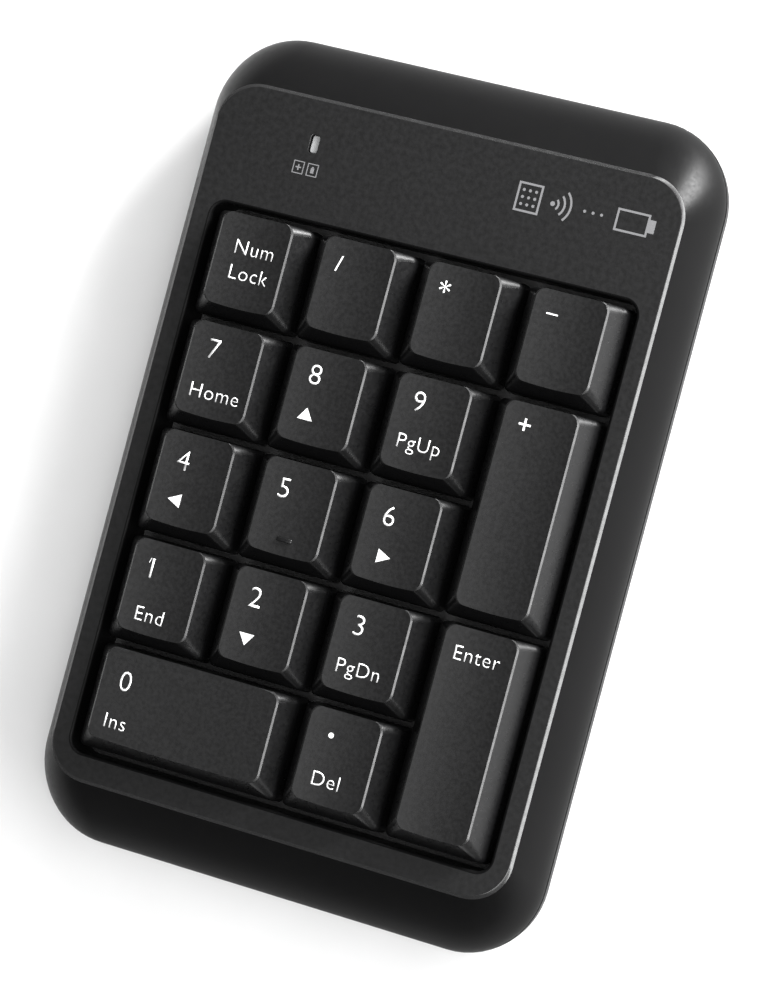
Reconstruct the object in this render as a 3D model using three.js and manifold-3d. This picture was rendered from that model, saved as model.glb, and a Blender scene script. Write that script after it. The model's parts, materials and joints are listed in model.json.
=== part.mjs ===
// A wireless numeric keypad: seventeen dome-switch keys in a two-piece case, with two AAA cells
// behind a sliding door. Millimetres, +Z up, +Y towards the back edge, +X to the right.
// The origin is on the desk, under the middle of the case.

import * as THREE from 'three';
import { mergeVertices } from 'three/addons/utils/BufferGeometryUtils.js';
import Module from 'manifold-3d';

const wasm = await Module();
wasm.setup();

// ---------------------------------------------------------------------------
// Driving dimensions
// ---------------------------------------------------------------------------

// Key grid
const KEY_PITCH = 19.05;
const COLUMNS = 4;
const ROWS = 5;
const KEY_GAP = 0.85;          // between the skirts of two neighbouring keys
const KEY_HEIGHT = 7.6;        // skirt edge to the rim of the key face
const KEY_RISE = 3.2;          // key faces above the deck
const KEY_TRAVEL = 3.0;
const KEY_REST_GAP = 0.4;      // skirt above the guide plate when the key is down
const KEY_WALL = 1.2;
const KEY_ROOF = 1.6;
const KEY_SHOULDER = 3.8;      // the skirt leans in from here, this far under the rim of the face
const KEY_DRAFT = 0.15;        // slight lean of the skirt below its shoulder
const FACE_INSET_SIDE = 2.82;  // edge of the face inside the edge of the skirt
const FACE_INSET_FRONT = 2.6;
const FACE_INSET_BACK = 0.47;
const FACE_CORNER = 1.6;
const SKIRT_CORNER = 1.0;
const DISH_DEPTH = 0.5;        // of the finger dish, which runs front to back
const STEM_RADIUS = 2.8;
const TUBE_CLEARANCE = 0.3;    // around the stem in its guide tube
const TUBE_WALL = 1.0;
const TUBE_RISE = 2.9;         // guide tube above the guide plate
const HOMING_LENGTH = 2.8;     // bar on the face of the middle key
const HOMING_WIDTH = 0.8;
const HOMING_HEIGHT = 0.3;     // above the bottom of the dish
const HOMING_PLACE = 4.35;     // in front of the middle of the key

// Stabiliser wires of the three double-length keys
const WIRE_RADIUS = 0.55;
const WIRE_ARM = 8.0;
const WIRE_SPAN = 23.0;
const WIRE_END = 3.5;          // the turned-in end of an arm
const WIRE_TUBE_GAP = 0.35;    // the long bar beside the guide tube
const WIRE_CLEARANCE = 0.3;
const CLIP_PLACE = 6.0;        // along the bar, each side of the stem
const CLIP_WIDTH = 2.0;
const CLIP_WALL = 0.5;
const CLIP_MOUTH = 0.9;        // narrower than the wire, so the wire snaps in
const LUG_WALL = 0.8;
const LUG_WIDTH = 2.0;
const LUG_ROOM = 0.4;          // around a lug in its window through the guide plate

// Case
const WELL_MARGIN = 0.7;       // key cells to the edge of the well
const WELL_CORNER = 2.5;
const LIP_WALL = 1.2;          // wall that hangs from the deck around the well
const SIDE_MARGIN = 3.7;       // deck beside the well
const FRONT_MARGIN = 4.5;      // deck in front of the well
const SIDE_SLOPE = 4.0;        // how far the slopes run out from deck to parting line
const END_SLOPE = 10.3;
const DECK_CORNER = 7.0;
const CASE_CORNER = 14.0;
const DECK_EDGE = 0.5;         // softened edge of the deck
const WALL = 2.0;
const PARTING_HEIGHT = 7.2;
const PARTING_GAP = 0.3;
const FLOOR_THICKNESS = 1.8;
const BOTTOM_TUCK = 3.0;       // how far the base curves in under the case
const LOCATING_LIP = 1.2;      // wall and height of the lip that centres the two halves
const LIP_ROOM = 3.0;          // that lip inside the widest outline
const LIP_ROOM_END = 4.7;

// Layers under the keys, from the floor up
const BACKPLATE_THICKNESS = 0.8;
const MEMBRANE_THICKNESS = 0.2;
const MAT_THICKNESS = 0.5;
const DOME_HEIGHT = 3.0;
const DOME_RADIUS = 4.2;
const DOME_CROWN_RADIUS = 2.4;
const DOME_SHOULDER = 1.6;     // height at which the sloping skirt of a dome ends
const DOME_WALL = 0.5;
const DOME_REST_GAP = 0.3;     // dome crown to stem
const PLATE_LIFT = 2.1;        // least room between the mat and the guide plate
const PLATE_THICKNESS = 1.6;
const LAYER_INSET = 0.4;       // layers inside the edge of the guide plate

// Power
const CELL_DIAMETER = 10.5;
const CELL_LENGTH = 44.5;
const CELL_CLEARANCE = 0.3;
const CELL_TUCK = 2.15;        // how far the rear cell reaches under the slope
const CELL_CAP_RADIUS = 1.9;
const CELL_CAP_HEIGHT = 1.0;
const SPRING_LENGTH = 4.2;
const SPRING_TURNS = 3;
const SPRING_WIRE_RADIUS = 0.3;
const SPRING_BASE_RADIUS = 3.2;
const SPRING_TIP_RADIUS = 1.8;
const CONTACT_THICKNESS = 0.4;
const CONTACT_REACH = 3.6;     // contact plates beyond the middle of a cell, along Y
const CONTACT_BELOW = 4.0;     // and below and above it
const CONTACT_ABOVE = 2.6;
const BAY_WALL = 1.2;
const BAY_SIDE_ROOM = 1.2;     // bay inside the side of the key well
const DOOR_LEDGE = 1.0;        // ledge under each edge of the door
const DOOR_GAP = 0.3;
const DOOR_INSET = 1.6;        // door panel inside the bay
const GRIP_COUNT = 3;          // grooves across the door for a finger
const GRIP_PITCH = 2.0;
const GRIP_LENGTH = 14.0;
const GRIP_WIDTH = 0.8;
const GRIP_DEPTH = 0.4;
const GRIP_PLACE = 4.0;        // rear groove in front of the back of the bay
const LEAD_RADIUS = 0.6;
const RED_LEAD_FROM_FRONT = 4.0;   // where the leads land on the board
const BLACK_LEAD_FROM_BACK = 1.2;

// Electronics
const BOARD_THICKNESS = 1.0;
const BOARD_HEIGHT = 3.0;      // board above the floor
const BOARD_BACK_ROOM = 5.6;   // board in front of the back of the battery bay
const BOARD_EDGE_ROOM = 1.5;   // board inside the edge of the deck
const INDICATOR_WIDTH = 1.4;
const INDICATOR_LENGTH = 3.0;
const INDICATOR_FROM_EDGE = 2.7;   // indicator inside the right edge of the board
const INDICATOR_FROM_BACK = 7.5;   // indicator in front of the back edge of the deck
const CHIP_SIZE = 6.0;
const CHIP_HEIGHT = 0.9;
const TAIL_FROM_EDGE = 3.0;    // membrane tail inside the left edge of the board
const TAIL_WIDTH = 7.0;
const TAIL_REACH = 2.5;        // tail under the board
const BOARD_POST_RADIUS = 1.5;
const SWITCH_TRAVEL = 2.5;
const SWITCH_FROM_EDGE = 6.0;  // middle of the power switch inside the left edge of the board
const SWITCH_FROM_BACK = 2.6;
const SWITCH_STEM = { halfX: 1.0, halfY: 0.7 };
const SWITCH_KNOB = { halfX: 1.5, halfY: 1.6 };
const SWITCH_ROOM = 0.35;      // around the stem in its slot
const SWITCH_POCKET_ROOM = { x: 1.45, y: 0.8 };   // around the knob in its pocket
const SWITCH_POCKET_DEPTH = 1.0;
const BUTTON_TRAVEL = 0.4;
const BUTTON_RADIUS = 1.7;
const BUTTON_FLANGE = 0.8;
const BUTTON_FROM_EDGE = 13.0;
const BUTTON_FROM_FRONT = 7.0;

// Feet, screws and label
const FOOT_STAND = 1.2;        // underside of the case above the desk
const FOOT_RADIUS = 4.0;
const FOOT_RECESS = 0.7;
const FOOT_ROOM = 0.2;
const FOOT_SIDE_ROOM = 22.0;   // front feet inside the sides of the case
const FOOT_END_ROOM = 10.0;
const FOOT_BAY_ROOM = 1.5;     // rear feet in front of the battery bay
const SCREW_RADIUS = 1.1;
const SCREW_HEAD_RADIUS = 2.2;
const SCREW_HEAD_HEIGHT = 1.5;
const SCREW_LENGTH = 7.0;
const SCREW_CLEARANCE = 0.2;
const HEAD_ROOM = 0.3;         // around the head of a screw
const PILOT_ROOM = 0.6;        // beyond the end of a screw
const BOSS_RADIUS = 2.5;
const SEAT_RADIUS = 3.4;       // raised seat around each screw in the bottom case
const SEAT_HEIGHT = 3.7;       // above the underside of the case
const SEAT_WEB = 1.6;          // plastic between the head of a screw and its boss
const SCREW_END_ROOM = 9.0;    // screws inside the ends of the case
const SCREW_SIDE_ROOM = 13.5;  // and inside its sides
const LABEL_THICKNESS = 0.2;
const LABEL_RECESS = 0.25;
const LABEL_ROOM = 0.3;

// Each key: the cell it starts in, counted from the back left, and how many cells it covers
const KEYS = [
  { name: 'key_num_lock', column: 0, row: 0, wide: 1, tall: 1 },
  { name: 'key_divide', column: 1, row: 0, wide: 1, tall: 1 },
  { name: 'key_multiply', column: 2, row: 0, wide: 1, tall: 1 },
  { name: 'key_subtract', column: 3, row: 0, wide: 1, tall: 1 },
  { name: 'key_7', column: 0, row: 1, wide: 1, tall: 1 },
  { name: 'key_8', column: 1, row: 1, wide: 1, tall: 1 },
  { name: 'key_9', column: 2, row: 1, wide: 1, tall: 1 },
  { name: 'key_add', column: 3, row: 1, wide: 1, tall: 2 },
  { name: 'key_4', column: 0, row: 2, wide: 1, tall: 1 },
  { name: 'key_5', column: 1, row: 2, wide: 1, tall: 1 },
  { name: 'key_6', column: 2, row: 2, wide: 1, tall: 1 },
  { name: 'key_1', column: 0, row: 3, wide: 1, tall: 1 },
  { name: 'key_2', column: 1, row: 3, wide: 1, tall: 1 },
  { name: 'key_3', column: 2, row: 3, wide: 1, tall: 1 },
  { name: 'key_enter', column: 3, row: 3, wide: 1, tall: 2 },
  { name: 'key_0', column: 0, row: 4, wide: 2, tall: 1 },
  { name: 'key_decimal', column: 2, row: 4, wide: 1, tall: 1 },
];

// ---------------------------------------------------------------------------
// Sizes and places worked out from them
// ---------------------------------------------------------------------------

// Heights, from the desk up
const floorTop = FOOT_STAND + FLOOR_THICKNESS;
const backplateTop = floorTop + BACKPLATE_THICKNESS;
const membraneTop = backplateTop + 3 * MEMBRANE_THICKNESS;
const matTop = membraneTop + MAT_THICKNESS;
const domeTop = matTop + DOME_HEIGHT;
const keyStack = matTop + PLATE_LIFT + PLATE_THICKNESS + KEY_REST_GAP + KEY_TRAVEL + KEY_HEIGHT - KEY_RISE;
const cellBottom = floorTop + CELL_CLEARANCE;
const cellStack = cellBottom + CELL_DIAMETER + CELL_CLEARANCE + WALL;
const deckHeight = Math.max(keyStack, cellStack);
const keyTop = deckHeight + KEY_RISE;
const skirtEdge = keyTop - KEY_HEIGHT;
const shoulder = keyTop - KEY_SHOULDER;
const roofUnderside = keyTop - KEY_ROOF - DISH_DEPTH;
const plateTop = skirtEdge - KEY_TRAVEL - KEY_REST_GAP;
const plateUnderside = plateTop - PLATE_THICKNESS;
const stemEnd = domeTop + DOME_REST_GAP;
const rimHeight = PARTING_HEIGHT - PARTING_GAP;

// Plan of the well, the deck and the case
const wellHalfX = COLUMNS * KEY_PITCH / 2 + WELL_MARGIN;
const wellHalfY = ROWS * KEY_PITCH / 2 + WELL_MARGIN;
const backStrip = LIP_WALL + 2 * (CELL_CLEARANCE + CELL_DIAMETER) - CELL_TUCK;
const deckHalfX = wellHalfX + SIDE_MARGIN;
const deckHalfY = wellHalfY + (FRONT_MARGIN + backStrip) / 2;
const caseHalfX = deckHalfX + SIDE_SLOPE;
const caseHalfY = deckHalfY + END_SLOPE;
const gridY = FRONT_MARGIN + wellHalfY - deckHalfY;
const wellBack = gridY + wellHalfY;
const slopeRise = deckHeight - PARTING_HEIGHT;
const stackHalfX = wellHalfX + LIP_WALL;
const stackHalfY = wellHalfY + LIP_WALL;
const tubeRadius = STEM_RADIUS + TUBE_CLEARANCE;
const wireBarOffset = tubeRadius + TUBE_WALL + WIRE_TUBE_GAP + WIRE_RADIUS;

// Battery bay, door and board, side by side behind the keys
const bayRight = wellHalfX - BAY_SIDE_ROOM;
const bayLength = 2 * CONTACT_THICKNESS + 2 * CELL_CLEARANCE + CELL_LENGTH + SPRING_LENGTH;
const bayLeft = bayRight - bayLength;
const cellHeight = cellBottom + CELL_DIAMETER / 2;
const frontCellY = wellBack + LIP_WALL + CELL_CLEARANCE + CELL_DIAMETER / 2;
const rearCellY = frontCellY + CELL_DIAMETER + CELL_CLEARANCE;
const bayFront = wellBack + LIP_WALL + CELL_CLEARANCE;
const bayBack = rearCellY + CELL_DIAMETER / 2 + CELL_CLEARANCE;
const doorLeft = bayLeft + DOOR_INSET;
const doorRight = bayRight - DOOR_INSET;
const doorFlangeHeight = FOOT_STAND + FLOOR_THICKNESS / 2;
const middleScrewX = bayLeft - BAY_WALL - DOOR_GAP - SEAT_RADIUS;
const boardRight = middleScrewX - SEAT_RADIUS - DOOR_GAP;
const boardLeft = -deckHalfX + BOARD_EDGE_ROOM;
const boardFront = bayFront + 2 * CELL_CLEARANCE;
const boardBack = bayBack - BOARD_BACK_ROOM;
const boardBottom = floorTop + BOARD_HEIGHT;
const boardTop = boardBottom + BOARD_THICKNESS;
const indicatorX = boardRight - INDICATOR_FROM_EDGE;
const indicatorY = deckHalfY - INDICATOR_FROM_BACK;
const switchX = boardLeft + SWITCH_FROM_EDGE;
const switchY = boardBack - SWITCH_FROM_BACK;
const buttonX = boardLeft + BUTTON_FROM_EDGE;
const buttonY = boardFront + BUTTON_FROM_FRONT;

const screwX = caseHalfX - SCREW_SIDE_ROOM;
const screwY = caseHalfY - SCREW_END_ROOM;
const seatTop = FOOT_STAND + SEAT_HEIGHT;
const SCREWS = [
  { name: 'screw_front_left', x: -screwX, y: -screwY },
  { name: 'screw_front_right', x: screwX, y: -screwY },
  { name: 'screw_rear_left', x: -screwX, y: screwY },
  { name: 'screw_rear_middle', x: middleScrewX, y: (frontCellY + rearCellY) / 2 },
];

const footX = caseHalfX - FOOT_SIDE_ROOM;
const footY = caseHalfY - FOOT_END_ROOM;
const rearFootX = screwX;
const rearFootY = bayFront - FOOT_RADIUS - FOOT_BAY_ROOM;
const FEET = [
  { name: 'foot_front_left', x: -footX, y: -footY },
  { name: 'foot_front_right', x: footX, y: -footY },
  { name: 'foot_rear_left', x: -rearFootX, y: rearFootY },
  { name: 'foot_rear_right', x: rearFootX, y: rearFootY },
];

const LABEL = { halfX: 20, front: -22, back: 6 };

// ---------------------------------------------------------------------------
// Helpers
// ---------------------------------------------------------------------------

function solid(geometry) {
  const bare = geometry.clone();
  bare.deleteAttribute('normal');
  bare.deleteAttribute('uv');
  const merged = mergeVertices(bare, 1e-4);
  const vertProperties = new Float32Array(merged.attributes.position.array);
  const triVerts = new Uint32Array(merged.index.array);
  return new wasm.Manifold(new wasm.Mesh({ numProp: 3, vertProperties, triVerts }));
}

function geometryOf(body) {
  const mesh = body.getMesh();
  const geometry = new THREE.BufferGeometry();
  geometry.setAttribute('position', new THREE.BufferAttribute(mesh.vertProperties, 3));
  geometry.setIndex(new THREE.BufferAttribute(mesh.triVerts, 1));
  geometry.computeVertexNormals();
  return geometry;
}

function join(first, ...others) {
  return others.reduce((whole, next) => whole.add(next), first);
}

function cut(whole, ...tools) {
  return tools.reduce((rest, tool) => rest.subtract(tool), whole);
}

// A box between two values along each axis
function block(x0, x1, y0, y1, z0, z1) {
  const box = new THREE.BoxGeometry(x1 - x0, y1 - y0, z1 - z0);
  box.translate((x0 + x1) / 2, (y0 + y1) / 2, (z0 + z1) / 2);
  return solid(box);
}

// An upright round post
function post(x, y, radius, bottom, top, sides = 12) {
  const round = new THREE.CylinderGeometry(radius, radius, top - bottom, sides);
  round.rotateX(Math.PI / 2);
  round.translate(x, y, (bottom + top) / 2);
  return solid(round);
}

// A turned solid about the upright axis, from [radius, height] points
function turned(points, sides) {
  const profile = points.map(([radius, height]) => new THREE.Vector2(radius, height));
  const body = new THREE.LatheGeometry(profile, sides);
  body.rotateX(Math.PI / 2);
  return body;
}

// A rectangle with round corners, as one closed outline
function roundedOutline(left, right, front, back, radius) {
  const outline = new THREE.Shape();
  const quarter = Math.PI / 2;
  outline.absarc(right - radius, back - radius, radius, 0, quarter);
  outline.absarc(left + radius, back - radius, radius, quarter, 2 * quarter);
  outline.absarc(left + radius, front + radius, radius, 2 * quarter, 3 * quarter);
  outline.absarc(right - radius, front + radius, radius, 3 * quarter, 4 * quarter);
  return outline;
}

// A closed solid through round-cornered rectangles stacked from the lowest to the highest
function loft(sections, cornerDetail = 1) {
  const rings = sections.map((s) => {
    return roundedOutline(s.left, s.right, s.front, s.back, s.radius).getPoints(cornerDetail);
  });
  const count = rings[0].length;
  const positions = rings.flatMap((ring, i) => ring.flatMap((p) => [p.x, p.y, sections[i].height]));
  const indices = [];
  for (let level = 0; level < rings.length - 1; level += 1) {
    for (let i = 0; i < count; i += 1) {
      const a = level * count + i;
      const b = level * count + (i + 1) % count;
      indices.push(a, b, b + count, a, b + count, a + count);
    }
  }
  const topStart = (rings.length - 1) * count;
  for (const [a, b, c] of THREE.ShapeUtils.triangulateShape(rings[0], [])) {
    indices.push(c, b, a);
  }
  for (const [a, b, c] of THREE.ShapeUtils.triangulateShape(rings.at(-1), [])) {
    indices.push(topStart + a, topStart + b, topStart + c);
  }
  const geometry = new THREE.BufferGeometry();
  geometry.setAttribute('position', new THREE.Float32BufferAttribute(positions, 3));
  geometry.setIndex(indices);
  return solid(geometry);
}

// One section of a loft, centred in X
function section(halfX, front, back, radius, height) {
  return { left: -halfX, right: halfX, front, back, radius, height };
}

// A plate with round corners and the footprint of the layers under the keys
function layer(inset, bottom, top) {
  const halfX = stackHalfX - inset;
  const front = gridY - stackHalfY + inset;
  const back = gridY + stackHalfY - inset;
  return loft([section(halfX, front, back, 2, bottom), section(halfX, front, back, 2, top)]);
}

// A solid tube along a smooth or bent path
function tube(path, radius, sides, steps) {
  const ring = new THREE.Shape();
  for (let i = 0; i < sides; i += 1) {
    const angle = 2 * Math.PI * i / sides;
    const point = [radius * Math.cos(angle), radius * Math.sin(angle)];
    if (i === 0) ring.moveTo(...point);
    else ring.lineTo(...point);
  }
  return solid(new THREE.ExtrudeGeometry(ring, { steps, extrudePath: path, bevelEnabled: false }));
}

function keyCentre(key) {
  const x = (key.column + key.wide / 2 - COLUMNS / 2) * KEY_PITCH;
  const y = gridY + (ROWS / 2 - key.row - key.tall / 2) * KEY_PITCH;
  return { x, y };
}

function hasStabiliser(key) {
  return key.wide + key.tall > 2;
}

// Turns a shape that is laid out for a tall key so that it suits a wide one
function turnFor(key, body) {
  return key.wide > key.tall ? body.rotate([0, 0, -90]) : body;
}

const whole = new THREE.Group();

function place(name, body, material, x = 0, y = 0, parent = whole) {
  const mesh = new THREE.Mesh(geometryOf(body), material);
  mesh.name = name;
  mesh.position.set(x, y, 0);
  parent.add(mesh);
  return mesh;
}

// ---------------------------------------------------------------------------
// Materials
// ---------------------------------------------------------------------------

function material(color, roughness, metalness = 0) {
  return new THREE.MeshStandardMaterial({ color, roughness, metalness });
}

const caseBlack = material(0x2f3032, 0.6);
const baseBlack = material(0x242527, 0.65);
const keyBlack = material(0x333335, 0.5);
const guideGrey = material(0x3a3a3b, 0.6);
const springSteel = material(0xb9bcc0, 0.3, 1);
const platedSteel = material(0x9fa3a6, 0.4, 1);
const darkSteel = material(0x3b3c3f, 0.4, 1);
const domeRubber = material(0xd8d8d2, 0.8);
const clearFilm = material(0xcfd8dc, 0.4);
const spacerFilm = material(0xe6e6e0, 0.5);
const boardGreen = material(0x2a5a3a, 0.5);
const chipBlack = material(0x18181a, 0.4);
const lampGreen = material(0xbfe8c0, 0.3);
const milkyPlastic = material(0xd9dcdd, 0.35);
const footRubber = material(0x1e1e1f, 0.9);
const cellSleeve = material(0x4a6f8f, 0.4);
const labelGrey = material(0xb8b8b4, 0.7);
const leadRed = material(0xa02a2a, 0.6);
const leadBlack = material(0x202022, 0.6);

// ---------------------------------------------------------------------------
// Keys and their stabiliser wires
// ---------------------------------------------------------------------------

// The outline of a key at a height, about the middle of its stem and drawn in by a wall.
// The skirt is nearly upright up to its shoulder and leans in from there to the face.
function keySection(key, wall, height) {
  const lean = Math.max(0, (height - shoulder) / KEY_SHOULDER);
  const draft = KEY_DRAFT * Math.min(1, (height - skirtEdge) / (shoulder - skirtEdge));
  const inset = (atFace) => draft + (atFace - KEY_DRAFT) * lean + wall;
  const halfX = (key.wide * KEY_PITCH - KEY_GAP) / 2;
  const halfY = (key.tall * KEY_PITCH - KEY_GAP) / 2;
  const corner = SKIRT_CORNER + (FACE_CORNER - SKIRT_CORNER) * lean - wall / 2;
  return section(halfX - inset(FACE_INSET_SIDE), -halfY + inset(FACE_INSET_FRONT),
    halfY - inset(FACE_INSET_BACK), corner, height);
}

function keySolid(key, wall, top) {
  const heights = [skirtEdge, shoulder, top];
  return loft(heights.map((height) => keySection(key, wall, height)));
}

// The finger dish: part of a large cylinder that lies front to back over the face
function dish(key) {
  const halfFace = (key.wide * KEY_PITCH - KEY_GAP) / 2 - FACE_INSET_SIDE;
  const radius = (halfFace ** 2 + DISH_DEPTH ** 2) / (2 * DISH_DEPTH);
  const sides = key.wide > 1 ? 160 : 64;
  const roller = new THREE.CylinderGeometry(radius, radius, (key.tall + 1) * KEY_PITCH, sides);
  roller.translate(0, 0, keyTop - DISH_DEPTH + radius);
  return solid(roller);
}

const wireLift = KEY_TRAVEL / 2;
const wireAngle = Math.asin(wireLift / WIRE_ARM);
const wireHole = WIRE_RADIUS + WIRE_CLEARANCE;
const pivotHeight = plateTop + WIRE_CLEARANCE + wireLift + WIRE_RADIUS - 0.05;
const lugX = -wireBarOffset + WIRE_ARM * (1 + Math.cos(wireAngle)) / 2;
const lugSlotHalf = wireHole + WIRE_ARM * (1 - Math.cos(wireAngle)) / 2;
const lugInner = WIRE_SPAN / 2 - WIRE_END + WIRE_CLEARANCE;
const wireEndHeight = pivotHeight + wireLift;

// The two slotted lugs under a double key that hold the ends of its wire
function stabiliserLugs(key) {
  const bottom = wireEndHeight - wireHole - LUG_WALL;
  const lugs = [-1, 1].map((side) => {
    const near = side * lugInner;
    const far = side * (lugInner + LUG_WIDTH);
    const [front, back] = [Math.min(near, far), Math.max(near, far)];
    const halfX = lugSlotHalf + LUG_WALL;
    const lug = block(lugX - halfX, lugX + halfX, front, back, bottom, keyTop - KEY_ROOF);
    const slot = block(lugX - lugSlotHalf, lugX + lugSlotHalf, front - 1, back + 1,
      wireEndHeight - wireHole, wireEndHeight + wireHole);
    return cut(lug, slot);
  });
  return turnFor(key, join(...lugs));
}

function keycap(key) {
  const outside = keySolid(key, 0, keyTop);
  const inside = keySolid(key, KEY_WALL, roofUnderside);
  const shell = cut(outside, inside, dish(key));
  const stem = post(0, 0, STEM_RADIUS, stemEnd, keyTop - KEY_ROOF);
  const parts = [shell, stem];
  if (hasStabiliser(key)) parts.push(stabiliserLugs(key));
  return join(...parts);
}

// A low bar on the face of the middle key, for finding it by touch
function homingBar() {
  const height = keyTop - DISH_DEPTH;
  return block(-HOMING_LENGTH / 2, HOMING_LENGTH / 2, -HOMING_PLACE - HOMING_WIDTH / 2,
    -HOMING_PLACE + HOMING_WIDTH / 2, height - HOMING_HEIGHT, height + HOMING_HEIGHT);
}

// The wire lies flat: its long bar on the Y axis, its arms towards +X and its ends turned in
function stabiliserWire() {
  const half = WIRE_SPAN / 2;
  const bend = 1.5;
  const corner = (x, y) => new THREE.Vector3(x, y, 0);
  const route = new THREE.CurvePath();
  const ends = [corner(WIRE_ARM, -half + WIRE_END), corner(WIRE_ARM, -half), corner(0, -half),
    corner(0, half), corner(WIRE_ARM, half), corner(WIRE_ARM, half - WIRE_END)];
  let from = ends[0];
  for (let i = 1; i < ends.length - 1; i += 1) {
    const into = ends[i].clone().add(ends[i - 1].clone().sub(ends[i]).setLength(bend));
    const out = ends[i].clone().add(ends[i + 1].clone().sub(ends[i]).setLength(bend));
    route.add(new THREE.LineCurve3(from, into));
    route.add(new THREE.QuadraticBezierCurve3(into, ends[i], out));
    from = out;
  }
  route.add(new THREE.LineCurve3(from, ends.at(-1)));
  return tube(route, WIRE_RADIUS, 6, 36);
}

function addKeys() {
  for (const key of KEYS) {
    const { x, y } = keyCentre(key);
    const cap = keycap(key);
    place(key.name, key.name === 'key_5' ? join(cap, homingBar()) : cap, keyBlack, x, y);
    if (hasStabiliser(key)) {
      const pivot = new THREE.Group();
      pivot.position.set(x, y, pivotHeight);
      if (key.wide > key.tall) pivot.rotation.z = -Math.PI / 2;
      const name = key.name.replace('key_', 'stabiliser_wire_');
      const wire = place(name, stabiliserWire(), springSteel, -wireBarOffset, 0, pivot);
      wire.rotation.y = -wireAngle;
      whole.add(pivot);
    }
  }
}

// ---------------------------------------------------------------------------
// Layers under the keys
// ---------------------------------------------------------------------------

// The clips on the guide plate in which a stabiliser wire turns, as [solid, cut] pairs
function wireClips(key) {
  const { x, y } = keyCentre(key);
  const half = wireHole + CLIP_WALL;
  const clips = [-1, 1].map((side) => {
    const middle = side * CLIP_PLACE;
    const [front, back] = [middle - CLIP_WIDTH / 2, middle + CLIP_WIDTH / 2];
    const left = -wireBarOffset - half;
    const right = -wireBarOffset + half;
    const body = block(left, right, front, back, plateTop - 0.2, pivotHeight + half);
    const hole = new THREE.CylinderGeometry(wireHole, wireHole, CLIP_WIDTH + 1, 12);
    hole.translate(-wireBarOffset, middle, pivotHeight);
    const mouth = block(-wireBarOffset - CLIP_MOUTH / 2, -wireBarOffset + CLIP_MOUTH / 2,
      front - 1, back + 1, pivotHeight, pivotHeight + 2 * half);
    return cut(body, solid(hole), mouth);
  });
  return turnFor(key, join(...clips)).translate([x, y, 0]);
}

// Openings through the guide plate under the lugs of a double key
function lugWindows(key) {
  const { x, y } = keyCentre(key);
  const halfX = lugSlotHalf + LUG_WALL + LUG_ROOM;
  const windows = [-1, 1].map((side) => {
    const middle = side * (lugInner + LUG_WIDTH / 2);
    const halfY = LUG_WIDTH / 2 + LUG_ROOM;
    return block(lugX - halfX, lugX + halfX, middle - halfY, middle + halfY,
      plateUnderside - 1, plateTop + 0.1);
  });
  return turnFor(key, join(...windows)).translate([x, y, 0]);
}

function guidePlate() {
  const edgeWall = LIP_WALL;
  const plate = layer(0, plateUnderside, plateTop);
  const skirt = cut(layer(0, matTop, plateTop), layer(edgeWall, matTop - 1, plateTop + 1));
  const tubes = KEYS.map((key) => {
    const { x, y } = keyCentre(key);
    return post(x, y, tubeRadius + TUBE_WALL, plateTop - 0.2, plateTop + TUBE_RISE);
  });
  const bores = KEYS.map((key) => {
    const { x, y } = keyCentre(key);
    return post(x, y, tubeRadius, plateUnderside - 1, plateTop + TUBE_RISE + 1);
  });
  const doubles = KEYS.filter(hasStabiliser);
  const body = join(plate, skirt, ...tubes, ...doubles.map(wireClips));
  return cut(body, ...bores, ...doubles.map(lugWindows));
}

function domeMat() {
  const sheet = layer(LAYER_INSET, membraneTop, matTop);
  const domes = KEYS.map((key) => {
    const { x, y } = keyCentre(key);
    const dome = turned([[0, -0.1], [DOME_RADIUS, -0.1], [DOME_CROWN_RADIUS, DOME_SHOULDER],
      [DOME_CROWN_RADIUS, DOME_HEIGHT], [0, DOME_HEIGHT]], 10);
    dome.translate(x, y, matTop);
    return solid(dome);
  });
  const hollows = KEYS.map((key) => {
    const { x, y } = keyCentre(key);
    const hollow = turned([[0, -1], [DOME_RADIUS - DOME_WALL, -1],
      [DOME_CROWN_RADIUS - DOME_WALL, DOME_SHOULDER], [0, DOME_SHOULDER]], 10);
    hollow.translate(x, y, matTop);
    return solid(hollow);
  });
  return cut(join(sheet, ...domes), ...hollows);
}

function membraneLayer(level, contactRadius) {
  const bottom = backplateTop + level * MEMBRANE_THICKNESS;
  const sheet = layer(LAYER_INSET, bottom, bottom + MEMBRANE_THICKNESS);
  if (!contactRadius) return sheet;
  return cut(sheet, ...KEYS.map((key) => {
    const { x, y } = keyCentre(key);
    return post(x, y, contactRadius, bottom - 1, bottom + 1, 6);
  }));
}

// The lowest layer carries the tail that plugs into the board
const tailLeft = boardLeft + TAIL_FROM_EDGE;
const tailRight = tailLeft + TAIL_WIDTH;
const tailBack = boardFront + TAIL_REACH;

function membraneBottom() {
  const tail = block(tailLeft, tailRight, wellBack - 2, tailBack, backplateTop,
    backplateTop + MEMBRANE_THICKNESS);
  return join(membraneLayer(0), tail);
}

function addLayers() {
  place('key_guide_plate', guidePlate(), guideGrey);
  place('dome_mat', domeMat(), domeRubber);
  place('membrane_top_layer', membraneLayer(2), clearFilm);
  place('membrane_spacer', membraneLayer(1, 2.5), spacerFilm);
  place('membrane_bottom_layer', membraneBottom(), clearFilm);
  place('steel_backplate', layer(LAYER_INSET, floorTop, backplateTop), platedSteel);
}

// ---------------------------------------------------------------------------
// Case
// ---------------------------------------------------------------------------

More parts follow.
